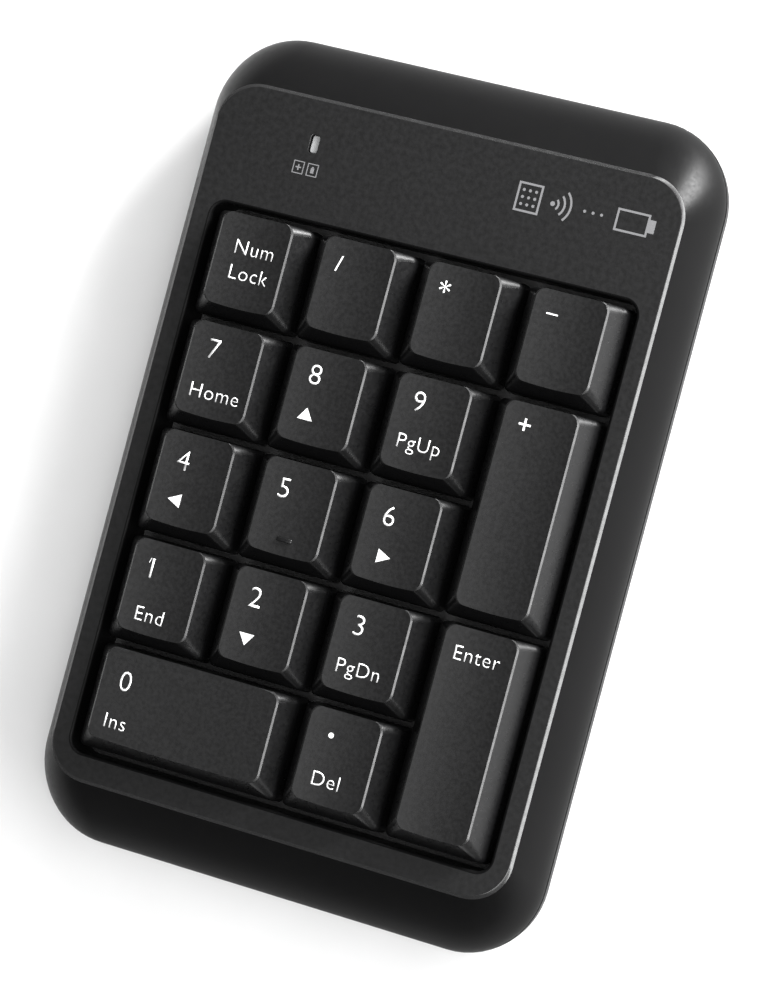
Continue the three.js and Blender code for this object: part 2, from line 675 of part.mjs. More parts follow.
// The outline of the sloping upper case at a height, drawn in by a wall
function slopeSection(height, wall = 0) {
  const share = (height - PARTING_HEIGHT) / slopeRise;
  const sideWall = wall * Math.hypot(SIDE_SLOPE, slopeRise) / slopeRise;
  const endWall = wall * Math.hypot(END_SLOPE, slopeRise) / slopeRise;
  const halfX = caseHalfX - SIDE_SLOPE * share - sideWall;
  const halfY = caseHalfY - END_SLOPE * share - endWall;
  const radius = CASE_CORNER - (CASE_CORNER - DECK_CORNER) * share - wall;
  return section(halfX, -halfY, halfY, radius, height);
}

function upperBody() {
  const edge = slopeSection(deckHeight - DECK_EDGE);
  const half = deckHalfX - DECK_EDGE / 2;
  const deck = section(half, -deckHalfY + DECK_EDGE, deckHalfY - DECK_EDGE, DECK_CORNER, deckHeight);
  return loft([slopeSection(PARTING_HEIGHT), edge, deck], 3);
}

function upperHollow() {
  const mouth = { ...slopeSection(PARTING_HEIGHT, WALL), height: PARTING_HEIGHT - 1 };
  return loft([mouth, slopeSection(PARTING_HEIGHT, WALL), slopeSection(deckHeight - WALL, WALL)], 2);
}

function wellPrism(grow, bottom, top) {
  const front = gridY - wellHalfY - grow;
  const halfX = wellHalfX + grow;
  const radius = WELL_CORNER + grow;
  return loft([
    section(halfX, front, wellBack + grow, radius, bottom),
    section(halfX, front, wellBack + grow, radius, top),
  ]);
}

function indicatorPrism(grow, bottom, top) {
  const halfX = INDICATOR_WIDTH / 2 + grow;
  const halfY = INDICATOR_LENGTH / 2 + grow;
  return block(indicatorX - halfX, indicatorX + halfX, indicatorY - halfY, indicatorY + halfY,
    bottom, top);
}

function topCase() {
  const outside = upperBody();
  const wellWall = wellPrism(LIP_WALL, plateTop, deckHeight - 1);
  const bosses = SCREWS.map((s) => post(s.x, s.y, BOSS_RADIUS, PARTING_HEIGHT, deckHeight));
  const lowBosses = SCREWS.map((s) => post(s.x, s.y, BOSS_RADIUS, seatTop, PARTING_HEIGHT + 0.5));
  const pilots = SCREWS.map((s) => {
    const end = seatTop + SCREW_LENGTH;
    const top = Math.min(end, deckHeight - WALL) - PILOT_ROOM;
    return post(s.x, s.y, SCREW_RADIUS + SCREW_CLEARANCE, seatTop - 1, top);
  });
  const shell = join(cut(outside, upperHollow()), wellWall, ...bosses.map((b) => b.intersect(outside)));
  const well = wellPrism(0, plateTop - 1, deckHeight + 1);
  const windowHole = indicatorPrism(0.1, deckHeight - WALL - 1, deckHeight + 1);
  return cut(join(shell, ...lowBosses), well, windowHole, ...pilots);
}

// The bowl of the lower case: its side curves in towards the floor as a quarter of an ellipse
function lowerBody() {
  const steps = 3;
  const sections = [];
  for (let i = 0; i <= steps; i += 1) {
    const angle = Math.PI / 2 * i / steps;
    const tuck = BOTTOM_TUCK * (1 - Math.sin(angle));
    const height = FOOT_STAND + (rimHeight - FOOT_STAND) * (1 - Math.cos(angle));
    const halfY = caseHalfY - tuck;
    sections.push(section(caseHalfX - tuck, -halfY, halfY, CASE_CORNER - tuck, height));
  }
  return loft(sections, 3);
}

function lipPrism(inset, bottom, top) {
  const halfX = caseHalfX - LIP_ROOM - inset;
  const halfY = caseHalfY - LIP_ROOM_END - inset;
  const radius = CASE_CORNER - LIP_ROOM - inset;
  const ring = (height) => section(halfX, -halfY, halfY, radius, height);
  return loft([ring(bottom), ring(top)], 2);
}

// The part of the lower case that the battery door takes up. Its two side flanges run out through
// the back, so that the door slides free.
function doorSpace(gap) {
  const front = bayFront - gap;
  const back = caseHalfY + 1;
  const panel = block(doorLeft - gap, doorRight + gap, front, back, FOOT_STAND - 1, PARTING_HEIGHT + 3);
  const flange = block(doorLeft - DOOR_LEDGE - gap, doorRight + DOOR_LEDGE + gap, front, back,
    doorFlangeHeight - gap / 3, floorTop + gap);
  return join(panel, flange);
}

// The end walls of the battery bay, kept inside the slopes of the upper case
function bayWalls() {
  const top = deckHeight - WALL - DOOR_GAP;
  const frame = [[bayLeft - BAY_WALL, bayLeft], [bayRight, bayRight + BAY_WALL]].map(([left, right]) => {
    return block(left, right, bayFront, bayBack, floorTop - 0.5, top);
  });
  const clear = slopeSection(deckHeight - WALL - DOOR_GAP, WALL + DOOR_GAP);
  const inside = loft([
    { ...slopeSection(PARTING_HEIGHT, WALL + DOOR_GAP), height: floorTop - 1 },
    slopeSection(PARTING_HEIGHT, WALL + DOOR_GAP),
    clear,
  ]);
  const notches = [frontCellY, rearCellY].map((y) => {
    return block(bayLeft - BAY_WALL - 1, bayLeft + 0.5, y - 1.2, y + 1.2, cellHeight - 1.2, top + 1);
  });
  return cut(join(...frame).intersect(inside), ...notches);
}

function boardPosts() {
  const right = boardRight - BOARD_POST_RADIUS - CELL_CLEARANCE;
  const left = boardLeft + BOARD_POST_RADIUS + CELL_CLEARANCE;
  const places = [[left, boardFront + CHIP_SIZE], [right, boardBack - 2], [right, boardFront + 2]];
  return places.map(([x, y]) => post(x, y, BOARD_POST_RADIUS, floorTop - 0.5, boardBottom, 12));
}

const pocketTop = FOOT_STAND + SWITCH_POCKET_DEPTH;
const switchStart = switchX - SWITCH_TRAVEL / 2;
const slotHalfX = SWITCH_STEM.halfX + SWITCH_TRAVEL / 2 + SWITCH_ROOM;
const slotHalfY = SWITCH_STEM.halfY + SWITCH_ROOM;
const pocketHalfX = SWITCH_KNOB.halfX + SWITCH_TRAVEL / 2 + SWITCH_POCKET_ROOM.x;
const pocketHalfY = SWITCH_KNOB.halfY + SWITCH_POCKET_ROOM.y;

function bottomCase() {
  const bowl = cut(lowerBody(), lipPrism(LOCATING_LIP, floorTop, PARTING_HEIGHT + 3));
  const lipTop = PARTING_HEIGHT + LOCATING_LIP;
  const lip = cut(lipPrism(0, rimHeight - 1, lipTop), lipPrism(LOCATING_LIP, 0, lipTop + 1));
  const seats = SCREWS.map((s) => post(s.x, s.y, SEAT_RADIUS, FOOT_STAND, seatTop));
  const body = join(bowl, lip, ...seats, bayWalls(), ...boardPosts());
  const headRoom = SCREWS.map((s) => {
    return post(s.x, s.y, SCREW_HEAD_RADIUS + HEAD_ROOM, FOOT_STAND - 1, seatTop - SEAT_WEB);
  });
  const screwHoles = SCREWS.map((s) => {
    return post(s.x, s.y, SCREW_RADIUS + SCREW_CLEARANCE, FOOT_STAND, seatTop + 1);
  });
  const bossRoom = SCREWS.map((s) => post(s.x, s.y, BOSS_RADIUS + PARTING_GAP, seatTop, lipTop + 1));
  const footRecesses = FEET.map((f) => {
    return post(f.x, f.y, FOOT_RADIUS + FOOT_ROOM, FOOT_STAND - 1, FOOT_STAND + FOOT_RECESS, 16);
  });
  const pocket = block(switchX - pocketHalfX, switchX + pocketHalfX, switchY - pocketHalfY,
    switchY + pocketHalfY, FOOT_STAND - 1, pocketTop);
  const slot = block(switchX - slotHalfX, switchX + slotHalfX, switchY - slotHalfY,
    switchY + slotHalfY, FOOT_STAND, floorTop + 1);
  const buttonHole = post(buttonX, buttonY, BUTTON_RADIUS + SWITCH_ROOM, FOOT_STAND - 1, floorTop + 1);
  const labelRecess = block(-LABEL.halfX - LABEL_ROOM, LABEL.halfX + LABEL_ROOM, LABEL.front - LABEL_ROOM,
    LABEL.back + LABEL_ROOM, FOOT_STAND - 1, FOOT_STAND + LABEL_RECESS);
  return cut(body, ...headRoom, ...screwHoles, ...bossRoom, ...footRecesses, doorSpace(DOOR_GAP),
    pocket, slot, buttonHole, labelRecess);
}

// The door is the back of the lower case between the cells and the desk; it slides out backwards
function batteryDoor() {
  const body = lowerBody().intersect(doorSpace(0));
  const inside = block(doorLeft - 2, doorRight + 2, bayFront - 1, bayBack, floorTop, PARTING_HEIGHT + 3);
  const middle = (doorLeft + doorRight) / 2;
  const grips = [];
  for (let i = 0; i < GRIP_COUNT; i += 1) {
    const y = bayBack - GRIP_PLACE - GRIP_PITCH * i;
    grips.push(block(middle - GRIP_LENGTH / 2, middle + GRIP_LENGTH / 2, y - GRIP_WIDTH / 2,
      y + GRIP_WIDTH / 2, FOOT_STAND - 1, FOOT_STAND + GRIP_DEPTH));
  }
  return cut(body, inside, ...grips);
}

function addCase() {
  place('top_case', topCase(), caseBlack);
  place('bottom_case', bottomCase(), baseBlack);
  place('battery_door', batteryDoor(), baseBlack);
}

// ---------------------------------------------------------------------------
// Cells, contacts and leads
// ---------------------------------------------------------------------------

// An AAA cell about the upright axis, positive cap up
function cell() {
  const radius = CELL_DIAMETER / 2;
  const shoulder = CELL_LENGTH - CELL_CAP_HEIGHT;
  return solid(turned([[0, 0], [radius - 0.4, 0], [radius, 0.4], [radius, shoulder - 0.6],
    [radius - 0.8, shoulder], [CELL_CAP_RADIUS, shoulder], [CELL_CAP_RADIUS, CELL_LENGTH],
    [0, CELL_LENGTH]], 16));
}

// A conical coil spring that stands on the YZ plane and points along +X
function contactSpring() {
  class Coil extends THREE.Curve {
    getPoint(t, target = new THREE.Vector3()) {
      const angle = 2 * Math.PI * SPRING_TURNS * t;
      const radius = SPRING_BASE_RADIUS + (SPRING_TIP_RADIUS - SPRING_BASE_RADIUS) * t;
      return target.set(SPRING_LENGTH * t, radius * Math.cos(angle), radius * Math.sin(angle));
    }
  }
  return tube(new Coil(), SPRING_WIRE_RADIUS, 4, 10 * SPRING_TURNS);
}

// A contact plate that faces +X, for the cells whose middles lie between two values of Y
function contactPlate(firstY, lastY) {
  return block(0, CONTACT_THICKNESS, firstY - CONTACT_REACH, lastY + CONTACT_REACH,
    cellHeight - CONTACT_BELOW, cellHeight + CONTACT_ABOVE);
}

function springAt(y) {
  return contactSpring().translate([CONTACT_THICKNESS - 0.2, y, cellHeight]);
}

// A lead from a contact over the middle screw to the board
function lead(y, landingY) {
  const start = bayLeft - CONTACT_THICKNESS;
  const route = new THREE.CatmullRomCurve3([
    new THREE.Vector3(start, y, cellHeight + 1.5),
    new THREE.Vector3(start - 2.5, y, cellHeight + 1.5),
    new THREE.Vector3(middleScrewX, y, cellHeight + 1.6),
    new THREE.Vector3(boardRight - 1, (y + landingY) / 2, cellHeight + 0.8),
    new THREE.Vector3(boardRight - 3, landingY, boardTop + LEAD_RADIUS + 0.2),
  ]);
  return tube(route, LEAD_RADIUS, 6, 10);
}

function addPower() {
  const length = CONTACT_THICKNESS + CELL_CLEARANCE;
  const front = place('battery_front', cell(), cellSleeve);
  front.position.set(bayLeft + length + CELL_LENGTH, frontCellY, cellHeight);
  front.rotation.y = -Math.PI / 2;
  const rear = place('battery_rear', cell(), cellSleeve);
  rear.position.set(bayRight - length - CELL_LENGTH, rearCellY, cellHeight);
  rear.rotation.y = Math.PI / 2;

  place('battery_contact_positive', contactPlate(frontCellY, frontCellY), springSteel, bayLeft);
  const negative = join(contactPlate(rearCellY, rearCellY), springAt(rearCellY));
  place('battery_contact_negative', negative, springSteel, bayLeft);
  const bridge = join(contactPlate(frontCellY, rearCellY), springAt(frontCellY)).mirror([1, 0, 0]);
  place('battery_contact_bridge', bridge, springSteel, bayRight);
  place('battery_lead_red', lead(frontCellY, boardFront + RED_LEAD_FROM_FRONT), leadRed);
  place('battery_lead_black', lead(rearCellY, boardBack - BLACK_LEAD_FROM_BACK), leadBlack);
}

// ---------------------------------------------------------------------------
// Electronics
// ---------------------------------------------------------------------------

function membraneConnector() {
  const body = block(tailLeft - 1, tailRight + 1, boardFront + 0.4, boardFront + 3.2,
    backplateTop - 0.5, boardBottom);
  const slot = block(tailLeft - 0.3, tailRight + 0.3, boardFront - 1, tailBack + 0.3,
    backplateTop - 0.2, backplateTop + MEMBRANE_THICKNESS + 0.2);
  return cut(body, slot);
}

function lightPipe() {
  const lens = indicatorPrism(0, boardTop + 1.5, deckHeight - 0.3);
  const flange = indicatorPrism(0.8, deckHeight - WALL - 1, deckHeight - WALL);
  return join(lens, flange);
}

function switchBody() {
  const wall = 0.8;
  const halfX = slotHalfX + 2 * wall;
  const halfY = slotHalfY + wall;
  const body = block(switchX - halfX, switchX + halfX, switchY - halfY, switchY + halfY,
    floorTop + 0.4, boardBottom);
  const track = block(switchX - slotHalfX, switchX + slotHalfX, switchY - slotHalfY, switchY + slotHalfY,
    floorTop, boardBottom - wall);
  return cut(body, track);
}

function switchSlider() {
  const { halfX, halfY } = SWITCH_STEM;
  const stem = block(-halfX, halfX, -halfY, halfY, FOOT_STAND + 0.4, boardBottom - 1.1);
  const knob = block(-SWITCH_KNOB.halfX, SWITCH_KNOB.halfX, -SWITCH_KNOB.halfY, SWITCH_KNOB.halfY,
    FOOT_STAND + 0.2, pocketTop - 0.2);
  return join(stem, knob);
}

const buttonTop = floorTop + 0.8;

function pairingButton() {
  const cap = post(0, 0, BUTTON_RADIUS, FOOT_STAND + 0.2, buttonTop);
  const flange = post(0, 0, BUTTON_RADIUS + BUTTON_FLANGE, floorTop + 0.3, buttonTop);
  return join(cap, flange);
}

function pairingSwitch() {
  const actuatorEnd = buttonTop + BUTTON_TRAVEL + 0.2;
  const body = block(-2.3, 2.3, -2.3, 2.3, boardBottom - 1.3, boardBottom);
  return join(body, post(0, 0, 1.1, actuatorEnd, boardBottom - 1, 12));
}

function addElectronics() {
  const board = block(boardLeft, boardRight, boardFront, boardBack, boardBottom, boardTop);
  place('circuit_board', board, boardGreen);
  place('membrane_connector', membraneConnector(), chipBlack);
  const half = CHIP_SIZE / 2;
  const chip = block(-half, half, -half, half, boardTop, boardTop + CHIP_HEIGHT);
  place('controller_chip', chip, chipBlack, boardLeft + CHIP_SIZE, boardFront + CHIP_SIZE);
  place('indicator_lamp', indicatorPrism(-0.1, boardTop, boardTop + 1.2), lampGreen);
  place('indicator_light_pipe', lightPipe(), milkyPlastic);
  place('power_switch_body', switchBody(), darkSteel);
  place('power_switch_slider', switchSlider(), keyBlack, switchStart, switchY);
  place('pairing_switch', pairingSwitch(), darkSteel, buttonX, buttonY);
  place('pairing_button', pairingButton(), keyBlack, buttonX, buttonY);
}

// ---------------------------------------------------------------------------
// Feet, screws and label
// ---------------------------------------------------------------------------

function foot() {
  const top = FOOT_STAND + FOOT_RECESS;
  const edge = 0.4;
  const profile = [[0, 0], [FOOT_RADIUS - edge, 0], [FOOT_RADIUS, edge], [FOOT_RADIUS, top], [0, top]];
  return solid(turned(profile, 16));
}

// A pan-head screw, head down, seated under its boss
function screw() {
  const seat = seatTop - SEAT_WEB;
  const length = Math.min(seat + SCREW_LENGTH, deckHeight - WALL - 1.2);
  const shape = turned([[0, seat - SCREW_HEAD_HEIGHT], [SCREW_HEAD_RADIUS - 0.4, seat - SCREW_HEAD_HEIGHT],
    [SCREW_HEAD_RADIUS, seat - SCREW_HEAD_HEIGHT + 0.4], [SCREW_HEAD_RADIUS, seat], [SCREW_RADIUS, seat],
    [SCREW_RADIUS, length - 1], [0.3, length], [0, length]], 12);
  const drive = [0, 1].map((turn) => {
    const arm = block(-1.2, 1.2, -0.25, 0.25, seat - SCREW_HEAD_HEIGHT - 1, seat - SCREW_HEAD_HEIGHT + 0.7);
    return arm.rotate([0, 0, 90 * turn]);
  });
  return cut(solid(shape), ...drive);
}

function addTrim() {
  for (const f of FEET) place(f.name, foot(), footRubber, f.x, f.y);
  for (const s of SCREWS) place(s.name, screw(), darkSteel, s.x, s.y);
  const top = FOOT_STAND + LABEL_RECESS;
  const label = block(-LABEL.halfX, LABEL.halfX, LABEL.front, LABEL.back, top - LABEL_THICKNESS, top);
  place('rating_label', label, labelGrey);
}

addCase();
addKeys();
addLayers();
addPower();
addElectronics();
addTrim();

export default whole;
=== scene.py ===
# %% [markdown]
# # A numeric keypad
# The design already exists as a set of plain solids, the frame. Every piece made here is placed
# from those solids, so nothing has to be fitted afterwards. The frame is loaded first.

# %% Load the frame
import json
import math

import bpy
from mathutils import Matrix, Vector

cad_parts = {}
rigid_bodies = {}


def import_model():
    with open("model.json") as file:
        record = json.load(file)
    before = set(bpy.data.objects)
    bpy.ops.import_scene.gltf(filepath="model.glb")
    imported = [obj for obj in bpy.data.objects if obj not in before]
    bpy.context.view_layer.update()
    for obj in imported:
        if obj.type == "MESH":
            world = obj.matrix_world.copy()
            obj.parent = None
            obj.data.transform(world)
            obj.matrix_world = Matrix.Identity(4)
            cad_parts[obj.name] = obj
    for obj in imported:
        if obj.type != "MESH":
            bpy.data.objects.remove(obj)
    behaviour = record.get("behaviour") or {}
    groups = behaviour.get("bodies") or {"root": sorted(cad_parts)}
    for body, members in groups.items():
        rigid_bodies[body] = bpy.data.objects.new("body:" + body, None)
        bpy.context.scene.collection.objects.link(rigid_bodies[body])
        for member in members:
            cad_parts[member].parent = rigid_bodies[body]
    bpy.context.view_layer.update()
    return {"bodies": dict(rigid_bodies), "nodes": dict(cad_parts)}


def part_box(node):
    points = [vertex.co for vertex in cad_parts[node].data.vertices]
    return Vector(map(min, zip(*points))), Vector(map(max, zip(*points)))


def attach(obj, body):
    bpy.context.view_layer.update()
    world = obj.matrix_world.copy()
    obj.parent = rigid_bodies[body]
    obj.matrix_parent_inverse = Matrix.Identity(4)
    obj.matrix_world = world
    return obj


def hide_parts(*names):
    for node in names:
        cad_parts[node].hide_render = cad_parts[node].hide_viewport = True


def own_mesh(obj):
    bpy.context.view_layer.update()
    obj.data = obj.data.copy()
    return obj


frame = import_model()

MM = 0.001

# %% [markdown]
# The edit tools of Blender act on whatever is selected. These short helpers start a piece from a
# clean selection, pick faces or edges by where they lie, and put a finished piece's place into its
# mesh, so that its patterns and its motion both start from the origin of the frame.

# %% Helpers for modelling by hand
def deselect():
    bpy.ops.object.select_all(action="DESELECT")


def lower_by(distance):
    return Matrix.Translation((0, 0, -distance))


def take(piece):
    deselect()
    piece.select_set(True)
    bpy.context.view_layer.objects.active = piece
    return piece


def named(name):
    piece = bpy.context.active_object
    piece.name = name
    piece.data.name = name
    return piece


def settle(piece):
    take(piece)
    bpy.ops.object.transform_apply(location=True, rotation=True, scale=True)
    return piece


def pick(piece, kind, test):
    """In edit mode, selects the faces or edges of which the test is true."""
    bpy.ops.mesh.select_all(action="DESELECT")
    bpy.ops.mesh.select_mode(type=kind)
    bpy.ops.object.mode_set(mode="OBJECT")
    mesh = piece.data
    if kind == "EDGE":
        for edge in mesh.edges:
            edge.select = test(*[mesh.vertices[i].co for i in edge.vertices])
    else:
        for face in mesh.polygons:
            face.select = test(face.center, face.normal)
    bpy.ops.object.mode_set(mode="EDIT")


def apply_modifier(piece, kind, **settings):
    take(piece)
    modifier = piece.modifiers.new(kind.title(), kind)
    for setting, value in settings.items():
        setattr(modifier, setting, value)
    bpy.ops.object.modifier_apply(modifier=modifier.name)
    return piece


def combine(piece, tool, operation):
    """Joins, cuts or trims a piece with a tool, which is used up."""
    apply_modifier(piece, "BOOLEAN", object=tool, operation=operation, solver="EXACT")
    bpy.data.objects.remove(tool, do_unlink=True)
    return piece


def cut(piece, *tools):
    for tool in tools:
        combine(piece, tool, "DIFFERENCE")
    return piece


def join(piece, *others):
    for other in others:
        combine(piece, other, "UNION")
    return piece


def soften(piece, width, segments=3, angle=35, smooth=35):
    """Rounds every edge sharper than an angle, then smooths the shading between flatter faces."""
    apply_modifier(piece, "BEVEL", width=width, segments=segments, limit_method="ANGLE",
                   angle_limit=math.radians(angle))
    take(piece)
    bpy.ops.object.shade_smooth_by_angle(angle=math.radians(smooth))
    apply_modifier(piece, "WEIGHTED_NORMAL", keep_sharp=True)
    return piece


def copy_of(piece, name):
    twin = piece.copy()
    twin.data = piece.data.copy()
    twin.name = name
    twin.data.name = name
    bpy.context.collection.objects.link(twin)
    return twin


def block(name, low, high):
    low, high = Vector(low), Vector(high)
    deselect()
    bpy.ops.mesh.primitive_cube_add(size=1, location=(low + high) / 2)
    piece = named(name)
    piece.scale = high - low
    return settle(piece)


def post(name, x, y, radius, bottom, top, sides=32):
    deselect()
    bpy.ops.mesh.primitive_cylinder_add(vertices=sides, radius=radius, depth=top - bottom,
                                        location=(x, y, (top + bottom) / 2))
    return settle(named(name))

# %% [markdown]
# The camera stands on the right, high over the keypad, and leans so that the keypad seems to turn
# clockwise. It is a long lens from about 0.6 m, so the sides hardly converge.

# %% Camera
CAMERA_TARGET = Vector((5.7, -1.6, 19.6)) * MM
CAMERA_DISTANCE = 641.8 * MM
CAMERA_LEAN = (4.856, 18.974, 15.807)      # degrees about X, Y and Z
LENS = 139.5

bpy.ops.object.camera_add(rotation=[math.radians(a) for a in CAMERA_LEAN])
camera = named("Camera")
camera.location = CAMERA_TARGET + camera.rotation_euler.to_matrix() @ Vector((0, 0, CAMERA_DISTANCE))
camera.data.lens = LENS
camera.data.sensor_width = 36
camera.data.clip_start = 0.01
bpy.context.scene.camera = camera

# %% [markdown]
# The sizes of the new pieces are read off the frame: the deck, the parting line, the desk and the
# cell of each key. What the boxes of the solids can't tell, such as a corner radius, is named here.

# %% Sizes from the frame
case_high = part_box("top_case")[1]
door_low, door_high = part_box("battery_door")
plate_low, plate_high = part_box("key_guide_plate")
WALL = 2.0 * MM
PARTING_GAP = 0.3 * MM
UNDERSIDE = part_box("bottom_case")[0].z
DECK = case_high.z
BASE_RIM = door_high.z                  # top of the lower case
PARTING = BASE_RIM + PARTING_GAP        # bottom of the upper case
FLOOR = UNDERSIDE + 1.8 * MM
CASE_X, CASE_Y = case_high.x, case_high.y
SIDE_SLOPE, END_SLOPE = 4.0 * MM, 10.3 * MM
WELL_WALL = 1.2 * MM                    # the guide plate reaches under the wall of the well
WELL_X = plate_high.x - WELL_WALL
WELL_FRONT = plate_low.y + WELL_WALL
WELL_BACK = plate_high.y - WELL_WALL
PLATE_TOP = DECK - 7.8 * MM
KEYS = [body for body in frame["bodies"] if body.startswith("key_")]
KEY_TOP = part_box("key_7")[1].z
print(len(KEYS), "keys; the deck is at", round(DECK / MM, 2), "mm, the key tops", round(KEY_TOP / MM, 2))

# %% [markdown]
# Nearly every outline of the case is a rectangle with round corners. It is made as a plane with its
# four corners bevelled. Outlines at different heights are bridged into one closed solid, which keeps
# each corner a true arc even though its radius changes on the way up.

# %% Solids through round-cornered outlines
def outline(half_x, front, back, radius, height, segments):
    deselect()
    bpy.ops.mesh.primitive_plane_add(size=1, location=(0, (front + back) / 2, height))
    plane = bpy.context.active_object
    plane.scale = (2 * half_x, back - front, 1)
    settle(plane)
    bpy.ops.object.mode_set(mode="EDIT")
    bpy.ops.mesh.select_all(action="SELECT")
    bpy.ops.mesh.bevel(offset=radius, segments=segments, affect="VERTICES")
    bpy.ops.object.mode_set(mode="OBJECT")
    return plane


def level(height):
    """A test that is true for an edge that lies flat at a height."""
    return lambda a, b: abs(a.z - height) < 1e-6 and abs(b.z - height) < 1e-6


def loft(name, rings, segments=12, x=0.0):
    planes = [outline(*ring, segments) for ring in rings]
    deselect()
    for plane in planes:
        plane.select_set(True)
    bpy.context.view_layer.objects.active = planes[0]
    bpy.ops.object.join()
    piece = named(name)
    heights = [ring[4] for ring in rings]
    bpy.ops.object.mode_set(mode="EDIT")
    bpy.ops.mesh.select_all(action="SELECT")
    bpy.ops.mesh.delete(type="ONLY_FACE")
    for lower, upper in zip(heights, heights[1:]):
        pick(piece, "EDGE", lambda a, b: level(lower)(a, b) or level(upper)(a, b))
        bpy.ops.mesh.bridge_edge_loops()
    for end in (heights[0], heights[-1]):
        pick(piece, "EDGE", level(end))
        bpy.ops.mesh.edge_face_add()
    bpy.ops.mesh.select_all(action="SELECT")
    bpy.ops.mesh.normals_make_consistent(inside=False)
    bpy.ops.object.mode_set(mode="OBJECT")
    piece.location.x = x
    return settle(piece)


def prism(name, half_x, front, back, radius, bottom, top, segments=8, x=0.0):
    ends = [(half_x, front, back, radius, height) for height in (bottom, top)]
    return loft(name, ends, segments, x)

# %% [markdown]
# The upper case is one moulding: a flat deck with a polished line cut round its edge, painted paler
# than the deck as a highlight, slopes that bulge a little on their way out to the parting line, and a
# wall that hangs down around the key well.
# The slopes are long at the two ends and short at the sides, and their corners open from a small
# radius at the deck to a large one below. It is lofted, hollowed by a second loft, and cut by the well.

# %% Upper case
CASE_CORNER, DECK_CORNER = 14.0 * MM, 7.0 * MM
WELL_CORNER = 2.5 * MM
CHAMFER_DROP, CHAMFER_WIDTH = 0.38 * MM, 0.52 * MM     # the polished line round the deck
SLOPE_TOP = DECK - CHAMFER_DROP
SWELL = 1.5                              # above 1, the slopes bulge
SLOPE_STEPS = 14


def slope_ring(height, wall=0.0, swell=1.0):
    rise_share = (height - PARTING) / (SLOPE_TOP - PARTING)
    share = (SLOPE_TOP - PARTING) / (DECK - PARTING) * max(0.0, rise_share) ** swell
    rise = DECK - PARTING
    side = SIDE_SLOPE * share + wall * math.hypot(SIDE_SLOPE, rise) / rise
    end = END_SLOPE * share + wall * math.hypot(END_SLOPE, rise) / rise
    radius = CASE_CORNER - (CASE_CORNER - DECK_CORNER) * share - wall
    return (CASE_X - side, -CASE_Y + end, CASE_Y - end, radius, height)


def well_edge(a, b):
    """True for an edge on the rim of the well, not one that crosses the deck."""
    def on_rim(p):
        dx = max(abs(p.x) - (WELL_X - WELL_CORNER), 0)
        middle = (WELL_FRONT + WELL_BACK) / 2
        dy = max(abs(p.y - middle) - ((WELL_BACK - WELL_FRONT) / 2 - WELL_CORNER), 0)
        return abs(math.hypot(dx, dy) - WELL_CORNER) < 2e-5
    return on_rim(a) and on_rim(b)


def upper_case():
    rise = (SLOPE_TOP - PARTING) / SLOPE_STEPS
    rings = [slope_ring(PARTING + rise * i, swell=SWELL) for i in range(SLOPE_STEPS + 1)]
    half_x, front, back, radius, height = rings[-1]
    width = CHAMFER_WIDTH
    deck = (half_x - width, front + width, back - width, radius - width / 2, DECK)
    shell = loft("case_top", rings + [deck], 18)
    bpy.ops.object.mode_set(mode="EDIT")
    for level_height, offset in ((DECK, 0.08 * MM), (height, 0.08 * MM), (PARTING, 0.3 * MM)):
        pick(shell, "EDGE", level(level_height))
        bpy.ops.mesh.bevel(offset=offset, segments=3, affect="EDGES")
    bpy.ops.object.mode_set(mode="OBJECT")
    mouth = slope_ring(PARTING, WALL)[:4] + (PARTING - 1 * MM,)
    hollow = loft("hollow", [mouth, slope_ring(PARTING, WALL), slope_ring(DECK - WALL, WALL)], 10)
    cut(shell, hollow)
    wall = prism("wall", WELL_X + WELL_WALL, WELL_FRONT - WELL_WALL, WELL_BACK + WELL_WALL,
                 WELL_CORNER + WELL_WALL, PLATE_TOP, DECK - 1 * MM)
    join(shell, wall)
    cut(shell, prism("well", WELL_X, WELL_FRONT, WELL_BACK, WELL_CORNER, 0, DECK + 1 * MM, 10))
    take(shell)
    bpy.ops.object.mode_set(mode="EDIT")
    pick(shell, "EDGE", lambda a, b: level(DECK)(a, b) and well_edge(a, b))
    bpy.ops.mesh.bevel(offset=0.55 * MM, segments=4, affect="EDGES")
    bpy.ops.object.mode_set(mode="OBJECT")
    return shell


case_top = upper_case()
window_low, window_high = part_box("indicator_light_pipe")
window_x = (window_low.x + window_high.x) / 2
window_y = (window_low.y + window_high.y) / 2
cut(case_top, prism("window_hole", 0.8 * MM, window_y - 1.6 * MM, window_y + 1.6 * MM, 0.5 * MM,
                    DECK - 4 * MM, DECK + 1 * MM, 6, window_x))
soften(case_top, 0.08 * MM, 2, 40, 15)
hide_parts("top_case")
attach(case_top, "case")
print("upper case:", len(case_top.data.polygons), "faces")

# %% [markdown]
# A keycap is a hollow shell whose skirt stands nearly upright up to a shoulder and leans in from
# there to the face, more at the sides and the front than at the back. Its face is dished like a
# shallow trough that runs front to back. The form is lofted, its shoulder is rounded, and a large
# roller cuts the dish. The edge of the face is broken by one narrow flat, which catches the light as
# a crisp line. A smaller box of the same form hollows the key, and the stem is joined on last.

